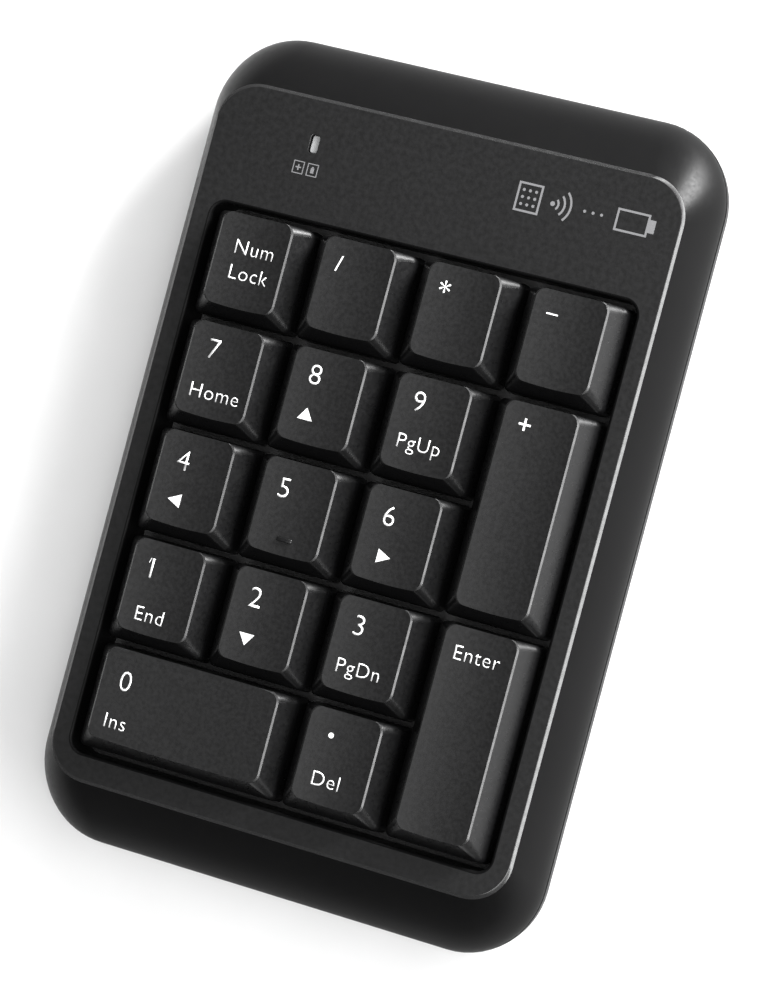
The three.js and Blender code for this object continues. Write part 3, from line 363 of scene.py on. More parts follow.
# %% Sizes of a keycap
SKIRT = KEY_TOP - 7.6 * MM
SHOULDER = KEY_TOP - 3.8 * MM
KEY_DRAFT = 0.15 * MM
KEY_WALL = 1.2 * MM
FACE_INSET_SIDE = 2.82 * MM
FACE_INSET_FRONT = 2.6 * MM
FACE_INSET_BACK = 0.47 * MM
SKIRT_CORNER, FACE_CORNER = 1.0 * MM, 1.7 * MM
SHOULDER_ROUND = 0.7 * MM
DISH_DEPTH = 0.5 * MM
EDGE_WIDTH, EDGE_DROP = 0.3 * MM, 0.22 * MM    # the narrow flat round the face
EDGE_FOOT = KEY_TOP - EDGE_DROP
STEM_RADIUS = 2.8 * MM
STEM_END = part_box("key_7")[0].z
KEY_ROOF = KEY_TOP - 1.6 * MM - DISH_DEPTH
LONG_HALF = 12 * MM                      # half the length that makes a key a long one
print("the skirt of a key is", round((SHOULDER - SKIRT) / MM, 1), "mm high up to its shoulder")


# %% The form of a key
def key_ring(half_x, half_y, height, wall=0.0, edge=0.0):
    lean = max(0.0, (height - SHOULDER) / (EDGE_FOOT - SHOULDER))
    draft = KEY_DRAFT * min(1.0, (height - SKIRT) / (SHOULDER - SKIRT))
    insets = (FACE_INSET_SIDE, FACE_INSET_FRONT, FACE_INSET_BACK)
    slant = [inset - EDGE_WIDTH - KEY_DRAFT for inset in insets]
    side, front, back = [draft + run * lean + wall + edge for run in slant]
    corner = SKIRT_CORNER + (FACE_CORNER - SKIRT_CORNER) * lean - wall / 2 - edge / 2
    return (half_x - side, -half_y + front, half_y - back, corner, height)


def key_form(name, half_x, half_y, top, wall=0.0):
    rings = [key_ring(half_x, half_y, height, wall) for height in (SKIRT, SHOULDER, top)]
    if top == EDGE_FOOT:
        face = key_ring(half_x, half_y, EDGE_FOOT, edge=EDGE_WIDTH)
        rings.append(face[:4] + (KEY_TOP,))
    form = loft(name, rings, 8)
    bpy.ops.object.mode_set(mode="EDIT")
    pick(form, "EDGE", level(SHOULDER))
    bpy.ops.mesh.bevel(offset=SHOULDER_ROUND, segments=5, affect="EDGES")
    bpy.ops.object.mode_set(mode="OBJECT")
    return form


# %% [markdown]
# The two keys of double height and the one of double width would tilt when pressed at one end. A bent
# wire under each of them prevents that. Its turned-in ends run in two slotted lugs, which are made as
# blocks, slotted, and turned a quarter for the wide key.

# %% Lugs for the stabiliser wires
WIRE_RADIUS, WIRE_HOLE = 0.55 * MM, 0.85 * MM
LUG_X, LUG_HALF = 2.93 * MM, 1.72 * MM         # middle and half of a lug, across the wire
LUG_INNER, LUG_WIDTH = 8.3 * MM, 2.0 * MM      # along the wire
LUG_WALL = 0.8 * MM
SLOT_HALF = LUG_HALF - LUG_WALL


def wire_lugs(wide):
    """The two slotted lugs under a long key, which hold the turned-in ends of its wire."""
    end_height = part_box("stabiliser_wire_add")[1].z - WIRE_RADIUS
    slot_low = end_height - WIRE_HOLE
    lugs = []
    for near in (LUG_INNER, -LUG_INNER - LUG_WIDTH):
        lug = block("lug", (LUG_X - LUG_HALF, near, slot_low - LUG_WALL),
                    (LUG_X + LUG_HALF, near + LUG_WIDTH, KEY_ROOF + LUG_WALL))
        cut(lug, block("lug_slot", (LUG_X - SLOT_HALF, near - 1 * MM, slot_low),
                       (LUG_X + SLOT_HALF, near + LUG_WIDTH + 1 * MM, end_height + WIRE_HOLE)))
        lugs.append(lug)
    pair = join(*lugs)
    pair.rotation_euler.z = -math.pi / 2 if wide else 0
    return settle(pair)


# %% One keycap
def dish_roller(half_face, depth_y, facets):
    """A cylinder that lies front to back over the face and sinks the dish into it."""
    radius = (half_face ** 2 + DISH_DEPTH ** 2) / (2 * DISH_DEPTH)
    deselect()
    bpy.ops.mesh.primitive_cylinder_add(vertices=facets, radius=radius, depth=depth_y,
                                        location=(0, 0, KEY_TOP - DISH_DEPTH + radius),
                                        rotation=(math.pi / 2, 0, 0))
    return settle(named("roller"))


def keycap(name, half_x, half_y):
    cap = key_form(name, half_x, half_y, EDGE_FOOT)
    wide = half_x > LONG_HALF
    cut(cap, dish_roller(half_x - FACE_INSET_SIDE, 3 * half_y, 720 if wide else 320))
    inside = key_form("inside", half_x, half_y, KEY_ROOF, KEY_WALL)
    inside.data.transform(lower_by(0.05 * MM))
    cut(cap, inside)
    join(cap, post("stem", 0, 0, STEM_RADIUS, STEM_END, KEY_ROOF + 0.8 * MM, 24))
    if max(half_x, half_y) > LONG_HALF:
        join(cap, wire_lugs(wide))
    take(cap)
    bpy.ops.object.shade_smooth_by_angle(angle=math.radians(14))
    apply_modifier(cap, "WEIGHTED_NORMAL", keep_sharp=True)
    return cap


# %% All the keys
one_unit = (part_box("key_7")[1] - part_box("key_7")[0]) / 2
master = keycap("keycap_master", one_unit.x, one_unit.y)
caps = {}
for key in KEYS:
    low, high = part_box(key)
    middle = (low + high) / 2
    half = (high - low) / 2
    if max(half.x, half.y) > LONG_HALF:
        cap = keycap(key.replace("key_", "cap_"), half.x, half.y)
    else:
        cap = copy_of(master, key.replace("key_", "cap_"))
    cap.location = (middle.x, middle.y, 0)
    settle(cap)
    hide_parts(key)
    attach(cap, key)
    caps[key] = cap
bpy.data.objects.remove(master, do_unlink=True)
print(len(caps), "keycaps; a plain one has", len(caps["key_5"].data.polygons), "faces")

# %% [markdown]
# Under every key stands a hollow rubber dome that buckles when the key goes down, and springs back.
# All seventeen are moulded in one sheet. Here the sheet and the domes are separate pieces, one dome
# under each key. A dome is a cylinder whose top is drawn in and extruded into a crown, and whose
# open underside gets its thickness from a modifier.

# %% Rubber mat and domes
mat_low, mat_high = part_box("dome_mat")
DOME_RADIUS, CROWN_RADIUS, DOME_WALL = 4.2 * MM, 2.4 * MM, 0.5 * MM
DOME_FLANK = 1.6 * MM
DOME_SHEET = mat_high.z - 3.0 * MM      # top of the flat sheet


def rubber_dome(name):
    dome = post(name, 0, 0, DOME_RADIUS, DOME_SHEET, DOME_SHEET + DOME_FLANK, 28)
    crown_height = mat_high.z - DOME_SHEET - DOME_FLANK
    bpy.ops.object.mode_set(mode="EDIT")
    pick(dome, "FACE", lambda centre, normal: normal.z > 0.5)
    bpy.ops.transform.resize(value=(CROWN_RADIUS / DOME_RADIUS,) * 2 + (1,))
    bpy.ops.mesh.extrude_region_move(TRANSFORM_OT_translate={"value": (0, 0, crown_height)})
    pick(dome, "FACE", lambda centre, normal: normal.z < -0.5)
    bpy.ops.mesh.delete(type="FACE")
    bpy.ops.object.mode_set(mode="OBJECT")
    apply_modifier(dome, "SOLIDIFY", thickness=DOME_WALL, offset=-1)
    return soften(dome, 0.15 * MM, 2, 35)


mat = block("mat_sheet", mat_low, (mat_high.x, mat_high.y, DOME_SHEET))
soften(mat, 0.1 * MM, 2, 40)
first_dome = rubber_dome("dome")
domes = []
for key in KEYS:
    low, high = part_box(key)
    dome = copy_of(first_dome, key.replace("key_", "dome_"))
    dome.location = ((low.x + high.x) / 2, (low.y + high.y) / 2, 0)
    domes.append(settle(dome))
bpy.data.objects.remove(first_dome, do_unlink=True)

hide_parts("dome_mat")
for key, dome in zip(KEYS, domes):
    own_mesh(dome)
for piece in [mat] + domes:
    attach(piece, "case")
print(len(domes), "domes")

# %% [markdown]
# The key legends are printed in white ink. Each is set as text, made into a flat mesh and moved to
# its place over the key. Then it is laid down on the dished face, as a transfer is, and given the
# thickness of a layer of ink. Arrows are small triangles, made from a three-sided circle.

# %% Legends
DIGIT, WORD, SIGN = 3.4 * MM, 2.45 * MM, 2.6 * MM     # heights of a capital
THINNER = 0.013                                         # taken off the strokes, of the letter's size
FACE_FROM_CELL = (FACE_INSET_FRONT - FACE_INSET_BACK) / 2
LEGENDS = {        # text, height of a capital, and its left edge and foot from the middle of the face
    "key_num_lock": [("Num", WORD, -3.1, 1.1), ("Lock", WORD, -3.05, -3.25)],
    "key_divide": [("/", SIGN, -3.75, 2.3)],
    "key_multiply": [("*", SIGN * 1.25, -4.0, 1.7)],
    "key_subtract": [("\u2013", SIGN, -3.9, 2.95)],
    "key_7": [("7", DIGIT, -3.1, 1.85), ("Home", WORD, -4.35, -5.05)],
    "key_8": [("8", DIGIT, -3.25, 1.95)],
    "key_9": [("9", DIGIT, -3.25, 1.95), ("PgUp", WORD, -4.2, -4.5)],
    "key_add": [("+", SIGN * 1.15, -3.6, 12.3)],
    "key_4": [("4", DIGIT, -3.3, 1.4)],
    "key_5": [("5", DIGIT, -3.3, 1.4)],
    "key_6": [("6", DIGIT, -3.15, 1.4)],
    "key_1": [("1", DIGIT, -2.95, 1.5), ("/", SIGN / 3, -3.5, 3.98), ("End", WORD, -3.55, -5.9)],
    "key_2": [("2", DIGIT, -3.3, 1.5)],
    "key_3": [("3", DIGIT, -3.15, 1.65), ("PgDn", WORD, -4.35, -5.0)],
    "key_enter": [("Enter", WORD, -4.15, 11.8)],
    "key_0": [("0", DIGIT, -12.55, 0.9), ("Ins", WORD, -13.4, -5.7)],
    "key_decimal": [(".", DIGIT * 1.6, -2.6, 3.2), ("Del", WORD, -3.45, -5.1)],
}
ARROWS = {"key_8": (-2.1, -3.4, 90), "key_4": (-1.7, -3.7, 180), "key_6": (-1.7, -3.7, 0),
          "key_2": (-2.15, -3.7, 270)}
INK = 0.05 * MM
ABOVE = KEY_TOP + 2 * MM


def written(text, capital, left, foot):
    """Flat text with its left edge and its foot at a place, and its capitals of a height."""
    deselect()
    bpy.ops.object.text_add()
    words = bpy.context.active_object
    words.data.body = text
    words.data.size = capital / CAPITAL_SHARE
    words.data.resolution_u = 3
    words.data.space_character = 1.07
    words.data.offset = -THINNER * words.data.size if text.isalnum() else 0
    bpy.ops.object.convert(target="MESH")
    words = bpy.context.active_object
    low = min(v.co.x for v in words.data.vertices)
    words.location = (left - low, foot, 0)
    return settle(words)


def capital_share():
    """The height of a capital in text of size 1."""
    deselect()
    bpy.ops.object.text_add()
    bpy.context.active_object.data.body = "H"
    bpy.ops.object.convert(target="MESH")
    letter = bpy.context.active_object
    share = max(v.co.y for v in letter.data.vertices)
    bpy.data.objects.remove(letter, do_unlink=True)
    return share


CAPITAL_SHARE = capital_share()


def arrow(x, y, turn):
    deselect()
    bpy.ops.mesh.primitive_circle_add(vertices=3, radius=1.55 * MM, fill_type="NGON",
                                      rotation=(0, 0, math.radians(turn - 90)))
    mark = bpy.context.active_object
    mark.scale = (0.88, 1, 1) if turn in (0, 180) else (1, 0.88, 1)
    settle(mark)
    mark.location = (x, y, 0)
    return settle(mark)


def print_on(name, marks, surface, x, y, body, height):
    """Joins flat marks into one piece and lays it on a surface as a thin layer of ink."""
    deselect()
    for mark in marks:
        mark.select_set(True)
    bpy.context.view_layer.objects.active = marks[0]
    if len(marks) > 1:
        bpy.ops.object.join()
    layer = named(name)
    layer.location = (x, y, height)
    settle(layer)
    apply_modifier(layer, "SHRINKWRAP", target=surface, wrap_method="PROJECT", use_project_z=True,
                   use_negative_direction=True, use_positive_direction=False, offset=0)
    layer.data.transform(lower_by(-0.02 * MM))
    take(layer)
    bpy.ops.object.mode_set(mode="EDIT")
    bpy.ops.mesh.select_all(action="SELECT")
    bpy.ops.mesh.remove_doubles(threshold=1e-6)
    bpy.ops.object.mode_set(mode="OBJECT")
    up = sum(face.normal.z for face in layer.data.polygons) > 0
    apply_modifier(layer, "SOLIDIFY", thickness=INK, offset=-1 if up else 1)
    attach(layer, body)
    return layer


prints = []
for key, lines in LEGENDS.items():
    low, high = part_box(key)
    x, y = (low.x + high.x) / 2, (low.y + high.y) / 2 + FACE_FROM_CELL
    marks = [written(text, capital, left * MM, foot * MM) for text, capital, left, foot in lines]
    if key in ARROWS:
        across, along, turn = ARROWS[key]
        marks.append(arrow(across * MM, along * MM, turn))
    prints.append(print_on(key.replace("key_", "legend_"), marks, caps[key], x, y, key, ABOVE))
print(len(prints), "printed legends")

# %% [markdown]
# The middle key has a low bar near the front of its face, so that a hand can find it without
# looking. It is moulded with the key, so it has the key's finish.

# %% Homing bar
bar_low, bar_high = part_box("key_5")
bar_x = (bar_low.x + bar_high.x) / 2
bar_y = (bar_low.y + bar_high.y) / 2 - 4.3 * MM
homing_bar = block("homing_bar", (bar_x - 1.4 * MM, bar_y - 0.4 * MM, KEY_TOP - 0.9 * MM),
                   (bar_x + 1.4 * MM, bar_y + 0.4 * MM, KEY_TOP - DISH_DEPTH + 0.28 * MM))
soften(homing_bar, 0.25 * MM, 4, 30)
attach(homing_bar, "key_5")

# %% [markdown]
# Behind the keys the deck carries a small window for the indicator lamp, two outlined marks under
# it, and a printed badge at the right. The marks and the badge are plain pictures of a plus, a
# battery, a keypad and radio waves, drawn from rings and bars.

# %% Marks on the deck
LINE = 0.16 * MM


def bar(x0, x1, y0, y1):
    deselect()
    bpy.ops.mesh.primitive_plane_add(size=1, location=((x0 + x1) / 2, (y0 + y1) / 2, 0))
    mark = bpy.context.active_object
    mark.scale = (x1 - x0, y1 - y0, 1)
    return settle(mark)


def frame_mark(x, y, half_x, half_y, line):
    return [bar(x - half_x, x + half_x, y + half_y - line, y + half_y),
            bar(x - half_x, x + half_x, y - half_y, y - half_y + line),
            bar(x - half_x, x - half_x + line, y - half_y + line, y + half_y - line),
            bar(x + half_x - line, x + half_x, y - half_y + line, y + half_y - line)]


def dot(x, y, radius):
    deselect()
    bpy.ops.mesh.primitive_circle_add(vertices=20, radius=radius, fill_type="NGON", location=(x, y, 0))
    return settle(bpy.context.active_object)


def wave(x, y, radius, line):
    """A quarter ring that opens to the right."""
    deselect()
    bpy.ops.mesh.primitive_circle_add(vertices=48, radius=radius, fill_type="NGON")
    ring = bpy.context.active_object
    bpy.ops.object.mode_set(mode="EDIT")
    bpy.ops.mesh.select_all(action="SELECT")
    bpy.ops.mesh.inset(thickness=line)
    bpy.ops.mesh.delete(type="FACE")
    pick(ring, "FACE", lambda centre, normal: centre.x < abs(centre.y))
    bpy.ops.mesh.delete(type="FACE")
    bpy.ops.object.mode_set(mode="OBJECT")
    ring.location = (x, y, 0)
    return settle(ring)


icons_x, icons_y = window_x - 0.4 * MM, window_y - 4.4 * MM
icons = frame_mark(-1.3 * MM, 0, 1.0 * MM, 1.1 * MM, LINE)
icons += [bar(-1.8 * MM, -0.8 * MM, -0.12 * MM, 0.12 * MM)]
icons += [bar(-1.42 * MM, -1.18 * MM, 0.12 * MM, 0.5 * MM)]
icons += [bar(-1.42 * MM, -1.18 * MM, -0.5 * MM, -0.12 * MM)]
icons += frame_mark(1.3 * MM, 0, 1.0 * MM, 1.1 * MM, LINE)
icons += [bar(1.0 * MM, 1.6 * MM, -0.55 * MM, 0.35 * MM)]
icons += [bar(1.15 * MM, 1.45 * MM, 0.38 * MM, 0.58 * MM)]
print_on("indicator_marks", icons, case_top, icons_x, icons_y, "case", DECK + 2 * MM)

BADGE_LINE, BADGE_DOT = 0.36 * MM, 0.26 * MM
grid = [(i, j) for i in range(3) for j in range(3)]
badge = frame_mark(-9.8 * MM, 0, 2.2 * MM, 2.5 * MM, BADGE_LINE)
badge += [dot((-10.9 + 1.1 * i) * MM, (1.2 - 1.2 * j) * MM, BADGE_DOT) for i, j in grid]
badge += [wave(-5.6 * MM, 0, radius * MM, BADGE_LINE) for radius in (1.3, 2.4, 3.5)]
badge += [dot(-5.5 * MM, 0, 0.4 * MM)]
badge += [dot((0.2 + 1.5 * i) * MM, 0, BADGE_DOT) for i in range(3)]
badge += frame_mark(8.6 * MM, 0, 2.9 * MM, 1.9 * MM, BADGE_LINE)
badge += [bar(11.5 * MM, 12.6 * MM, -1.1 * MM, 1.1 * MM)]
badge_layer = print_on("deck_badge", badge, case_top, 25.4 * MM, 52.9 * MM, "case", DECK + 2 * MM)

# %% [markdown]
# The lower case is a shallow bowl whose sides curve in to the floor as a quarter of an ellipse. It is
# lofted through a stack of outlines, hollowed, and given its locating lip, screw seats and the end
# walls of the battery bay. Then everything that passes through the floor is cut.

# %% Lower case
BOTTOM_TUCK = 3.0 * MM
LIP = 1.2 * MM                          # thickness and height of the locating lip
LIP_SIDE, LIP_END = 3.0 * MM, 4.7 * MM  # lip inside the widest outline
SEAT_TOP = UNDERSIDE + 3.7 * MM
HEAD_SEAT = SEAT_TOP - 1.6 * MM
DOOR_LEDGE = 1.0 * MM
DOOR_GAP = 0.3 * MM
ABOVE_CASE = PARTING + 3 * MM
BELOW = UNDERSIDE - 1 * MM
SCREWS = ("front_left", "front_right", "rear_left", "rear_middle")
FEET = ("front_left", "front_right", "rear_left", "rear_right")


def middle_of(node):
    low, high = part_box(node)
    return (low + high) / 2


def bowl(name, steps=8):
    rings = []
    for i in range(steps + 1):
        angle = math.pi / 2 * i / steps
        inset = BOTTOM_TUCK * (1 - math.sin(angle))
        height = UNDERSIDE + (BASE_RIM - UNDERSIDE) * (1 - math.cos(angle))
        rings.append((CASE_X - inset, -CASE_Y + inset, CASE_Y - inset, CASE_CORNER - inset, height))
    return loft(name, rings, 14)


def lip_prism(name, inset, bottom, top):
    half_x, half_y = CASE_X - LIP_SIDE - inset, CASE_Y - LIP_END - inset
    return prism(name, half_x, -half_y, half_y, CASE_CORNER - LIP_SIDE - inset, bottom, top)


# %% [markdown]
# The battery door slides under a ledge at each side, so the space that it needs is a panel with a
# wider flange above it. The battery bay has two end walls that hold the contacts. They stand on the
# floor of the case and are trimmed to the slope of the upper case.

# %% Space for the door, and walls of the battery bay
def door_space(gap):
    """The panel of the door and its two flanges, which run out through the back of the case."""
    front, back = door_low.y - gap, CASE_Y + 1 * MM
    left, right = door_low.x - gap, door_high.x + gap
    flange = block("flange", (left, front, FLOOR - 0.9 * MM - gap / 3), (right, back, FLOOR + gap))
    panel = block("door_space", (left + DOOR_LEDGE, front, BELOW),
                  (right - DOOR_LEDGE, back, ABOVE_CASE))
    return join(panel, flange)


def bay_walls():
    """The two end walls of the battery bay, trimmed to the slope of the upper case."""
    bay_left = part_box("battery_contact_positive")[0].x
    bay_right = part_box("battery_contact_bridge")[1].x
    front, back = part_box("battery_front")[0].y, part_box("battery_rear")[1].y + DOOR_GAP
    top = DECK - WALL - DOOR_GAP
    walls = block("bay_walls", (bay_left - LIP, front, FLOOR - 0.5 * MM), (bay_left, back, top))
    join(walls, block("far_wall", (bay_right, front, FLOOR - 0.5 * MM), (bay_right + LIP, back, top)))
    clear = WALL + DOOR_GAP
    rings = [slope_ring(PARTING, clear)[:4] + (FLOOR - 1 * MM,)]
    rings += [slope_ring(PARTING, clear)]
    rings += [slope_ring(DECK - WALL, clear)[:4] + (top,)]
    inside = loft("inside", rings, 6)
    combine(walls, inside, "INTERSECT")
    for cell in ("battery_front", "battery_rear"):
        place = middle_of(cell)
        cut(walls, block("notch", (bay_left - 2 * LIP, place.y - LIP, place.z - LIP),
                         (bay_left + LIP, place.y + LIP, DECK)))
    return walls


# %% [markdown]
# The bowl is hollowed, and the lip, the screw seats and the bay walls are joined to it. Then the holes
# are cut: for the screws and the bosses of the upper case, the feet, the door, the switch, the pairing
# button and the label.

# %% The lower case put together
def lower_case():
    case = cut(bowl("case_base"), lip_prism("hollow", LIP, FLOOR, ABOVE_CASE))
    lip_top = PARTING + LIP
    join(case, cut(lip_prism("lip", 0, BASE_RIM - 1 * MM, lip_top),
                   lip_prism("lip_inside", LIP, BELOW, lip_top + 1 * MM)))
    for corner in SCREWS:
        place = middle_of("screw_" + corner)
        join(case, post("seat", place.x, place.y, 3.4 * MM, UNDERSIDE + 0.1 * MM, SEAT_TOP))
    join(case, bay_walls())
    for corner in SCREWS:
        place = middle_of("screw_" + corner)
        cut(case, post("head_room", place.x, place.y, 2.5 * MM, BELOW, HEAD_SEAT),
            post("screw_hole", place.x, place.y, 1.3 * MM, UNDERSIDE, SEAT_TOP + 1 * MM),
            post("boss_room", place.x, place.y, 2.8 * MM, SEAT_TOP, lip_top + 1 * MM))
    for corner in FEET:
        place = middle_of("foot_" + corner)
        cut(case, post("foot_recess", place.x, place.y, 4.2 * MM, BELOW, UNDERSIDE + 0.7 * MM, 48))
    return case


case_base = lower_case()
cut(case_base, door_space(DOOR_GAP))
switch, button = middle_of("power_switch_body"), middle_of("pairing_button")
label_low, label_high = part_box("rating_label")
room = 0.3 * MM
cut(case_base,
    prism("pocket", 4.2 * MM, switch.y - 2.4 * MM, switch.y + 2.4 * MM, 0.8 * MM, BELOW,
          UNDERSIDE + 1 * MM, 4, switch.x),
    prism("slot", 2.6 * MM, switch.y - 1.05 * MM, switch.y + 1.05 * MM, 0.3 * MM, UNDERSIDE,
          FLOOR + 1 * MM, 3, switch.x),
    post("button_hole", button.x, button.y, 2.05 * MM, BELOW, FLOOR + 1 * MM),
    prism("label_recess", label_high.x + room, label_low.y - room, label_high.y + room, 1.3 * MM,
          BELOW, UNDERSIDE + 0.25 * MM, 5))
soften(case_base, 0.1 * MM, 2, 40)
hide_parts("bottom_case")
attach(case_base, "case")
print("lower case:", len(case_base.data.polygons), "faces")

# %% [markdown]
# The battery door is the part of the bowl between the cells and the desk. It is made by trimming a
# copy of the bowl to the space that the lower case leaves free. Grooves for a finger are cut across it,
# and a small sunk arrow shows which way it slides.

# %% Battery door
GROOVES = 3                             # finger grooves, and how far apart they are
GROOVE_PITCH = 2 * MM


def battery_door():
    door = combine(bowl("door_panel"), door_space(0), "INTERSECT")
    cell_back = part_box("battery_rear")[1].y + DOOR_GAP
    cut(door, block("inside", (door_low.x - WALL, door_low.y - WALL, FLOOR),
                    (door_high.x + WALL, cell_back, ABOVE_CASE)))
    middle = (door_low.x + door_high.x) / 2
    for i in range(GROOVES):
        y = cell_back - 4 * MM - GROOVE_PITCH * i
        cut(door, prism("groove", 7 * MM, y - 0.4 * MM, y + 0.4 * MM, 0.35 * MM, BELOW,
                        UNDERSIDE + 0.4 * MM, 3, middle))
    deselect()
    bpy.ops.mesh.primitive_cylinder_add(vertices=3, radius=1.8 * MM, depth=2.6 * MM,
                                        location=(middle, cell_back - 11.5 * MM, UNDERSIDE - 1 * MM),
                                        rotation=(0, 0, math.pi))
    cut(door, settle(named("arrow")))
    return soften(door, 0.1 * MM, 2, 40)


door = battery_door()
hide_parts("battery_door")
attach(door, "battery_door")
print("door:", len(door.data.polygons), "faces")

# %% [markdown]
# A foot is a round pad of soft rubber, stuck in a recess of the lower case. It starts as a cylinder.
# Edit mode sinks a shallow hollow into its underside, and a bevel rounds its edges.

# %% Feet
def foot_pad(corner):
    low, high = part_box("foot_" + corner)
    place = (low + high) / 2
    pad = post("foot_pad_" + corner, place.x, place.y, (high.x - low.x) / 2, low.z, high.z, 48)
    bpy.ops.object.mode_set(mode="EDIT")
    pick(pad, "FACE", lambda centre, normal: normal.z < -0.5)
    bpy.ops.mesh.inset(thickness=0.9 * MM)
    bpy.ops.transform.translate(value=(0, 0, 0.25 * MM))
    bpy.ops.object.mode_set(mode="OBJECT")
    soften(pad, 0.22 * MM, 3, 30)
    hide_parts("foot_" + corner)
    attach(pad, "case")
    return pad


feet = [foot_pad(corner) for corner in FEET]
print(len(feet), "feet")

# %% [markdown]
# The screws that hold the two halves together have a domed head with a cross in it. The head and the
# shank are two cylinders: the head's outer face is rounded by a bevel, the shank ends in a blunt
# point, and two thin boxes cut the cross.

# %% Screws
def machine_screw(corner):
    low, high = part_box("screw_" + corner)
    place = (low + high) / 2
    head = post("fastener_" + corner, place.x, place.y, 2.2 * MM, low.z, HEAD_SEAT, 40)
    bpy.ops.object.mode_set(mode="EDIT")
    pick(head, "FACE", lambda centre, normal: normal.z < -0.5)
    bpy.ops.mesh.bevel(offset=0.6 * MM, segments=5, affect="EDGES")
    bpy.ops.object.mode_set(mode="OBJECT")
    shank = post("shank", place.x, place.y, 1.05 * MM, HEAD_SEAT - 0.2 * MM, high.z, 24)
    bpy.ops.object.mode_set(mode="EDIT")
    pick(shank, "FACE", lambda centre, normal: normal.z > 0.5)
    bpy.ops.transform.resize(value=(0.35, 0.35, 1))
    bpy.ops.object.mode_set(mode="OBJECT")
    join(head, shank)
    for half_x, half_y in ((1.2, 0.25), (0.25, 1.2)):
        cut(head, block("drive", (place.x - half_x * MM, place.y - half_y * MM, low.z - 1 * MM),
                        (place.x + half_x * MM, place.y + half_y * MM, low.z + 0.8 * MM)))
    soften(head, 0.05 * MM, 2, 40)
    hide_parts("screw_" + corner)
    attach(head, "case")
    return head


screws = [machine_screw(corner) for corner in SCREWS]
print(len(screws), "screws")

# %% [markdown]
# The power switch has a small ribbed knob that slides in a pocket of the lower case. It is a box with
# three gaps cut across it, and a stem that reaches the switch on the board.

# %% Switch knob
knob_low, knob_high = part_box("power_switch_slider")
knob_middle = middle_of("power_switch_slider")
knob_top = UNDERSIDE + 0.8 * MM
knob = block("switch_knob", (knob_low.x, knob_low.y, knob_low.z), (knob_high.x, knob_high.y, knob_top))
for i in (-1, 0, 1):
    x = knob_middle.x + 0.75 * i * MM
    cut(knob, block("rib_gap", (x - 0.18 * MM, knob_low.y - 1 * MM, knob_low.z - 1 * MM),
                    (x + 0.18 * MM, knob_high.y + 1 * MM, knob_low.z + 0.25 * MM)))
join(knob, block("stem", (knob_middle.x - 1 * MM, knob_middle.y - 0.7 * MM, knob_top - 0.2 * MM),
                 (knob_middle.x + 1 * MM, knob_middle.y + 0.7 * MM, knob_high.z)))
soften(knob, 0.08 * MM, 2, 40)
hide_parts("power_switch_slider")
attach(knob, "power_switch_slider")
print("knob:", len(knob.data.polygons), "faces")

# %% [markdown]
# The pairing button is a round cap with a sunk face, so that it isn't pressed by accident. A flange
# inside the case keeps it from falling out.

# %% Pairing button
button_low, button_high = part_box("pairing_button")
press = post("button_cap", button.x, button.y, 1.7 * MM, button_low.z, button_high.z, 40)
bpy.ops.object.mode_set(mode="EDIT")
pick(press, "FACE", lambda centre, normal: normal.z < -0.5)
bpy.ops.mesh.inset(thickness=0.5 * MM)
bpy.ops.transform.translate(value=(0, 0, 0.2 * MM))
bpy.ops.object.mode_set(mode="OBJECT")
join(press, post("flange", button.x, button.y, 2.5 * MM, button_high.z - 0.5 * MM, button_high.z, 40))
soften(press, 0.1 * MM, 3, 30)
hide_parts("pairing_button")
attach(press, "pairing_button")
print("button:", len(press.data.polygons), "faces")

# %% [markdown]
# The lamp shines through a small milky window that stands in the hole in the deck, a little below
# its top, so that one wall of the hole shows as a dark line beside it. A flange under the deck holds it.

# %% Window
WINDOW_SINK = 0.6 * MM                  # the top of the window below the deck
window = prism("indicator_window", (window_high.x - window_low.x) / 2 - 0.8 * MM, window_low.y + 0.8 * MM,
               window_high.y - 0.8 * MM, 0.45 * MM, window_low.z, DECK - WINDOW_SINK, 6, window_x)
window_flange = block("flange", (window_low.x, window_low.y, DECK - WALL - 1 * MM),
                      (window_high.x, window_high.y, DECK - WALL))
join(window, window_flange)
soften(window, 0.12 * MM, 3, 30)
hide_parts("indicator_light_pipe")
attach(window, "case")
print("window:", len(window.data.polygons), "faces")

# %% [markdown]
# The rating label is a film with round corners. Real ones are printed all over, so this one carries a
# thin frame, and plain bars where the lines of print would be.

# %% Label
film = prism("label_film", label_high.x, label_low.y, label_high.y, 1.0 * MM, label_low.z, label_high.z, 8)
soften(film, 0.04 * MM, 2, 40)
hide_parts("rating_label")
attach(film, "case")

label_y = (label_low.y + label_high.y) / 2
LABEL_MARGIN = 1.5 * MM
marks = frame_mark(0, label_y, label_high.x - LABEL_MARGIN,
                   (label_high.y - label_low.y) / 2 - LABEL_MARGIN, 0.3 * MM)
marks += [bar(-15 * MM, (3 - 5 * i) * MM, label_y + (6 - 4 * i) * MM, label_y + (7 - 4 * i) * MM)
          for i in range(3)]
marks += [bar(8 * MM, 15 * MM, label_y - 7 * MM, label_y + 1 * MM)]
deselect()
for mark in marks:
    mark.select_set(True)
bpy.context.view_layer.objects.active = marks[0]
bpy.ops.object.join()
label_print = named("label_print")
label_print.location.z = label_low.z
settle(label_print)
apply_modifier(label_print, "SOLIDIFY", thickness=0.02 * MM, offset=-1)
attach(label_print, "case")
print("label:", len(marks), "marks")

# %% [markdown]
# The cells are steel cans in a shrink sleeve. A cell is a cylinder on its side: the edge of each end
# is bevelled, and the front end is inset and pulled out into the positive cap.

# %% Cells
CELL_TIP = 1.0 * MM                     # the positive cap stands out this far


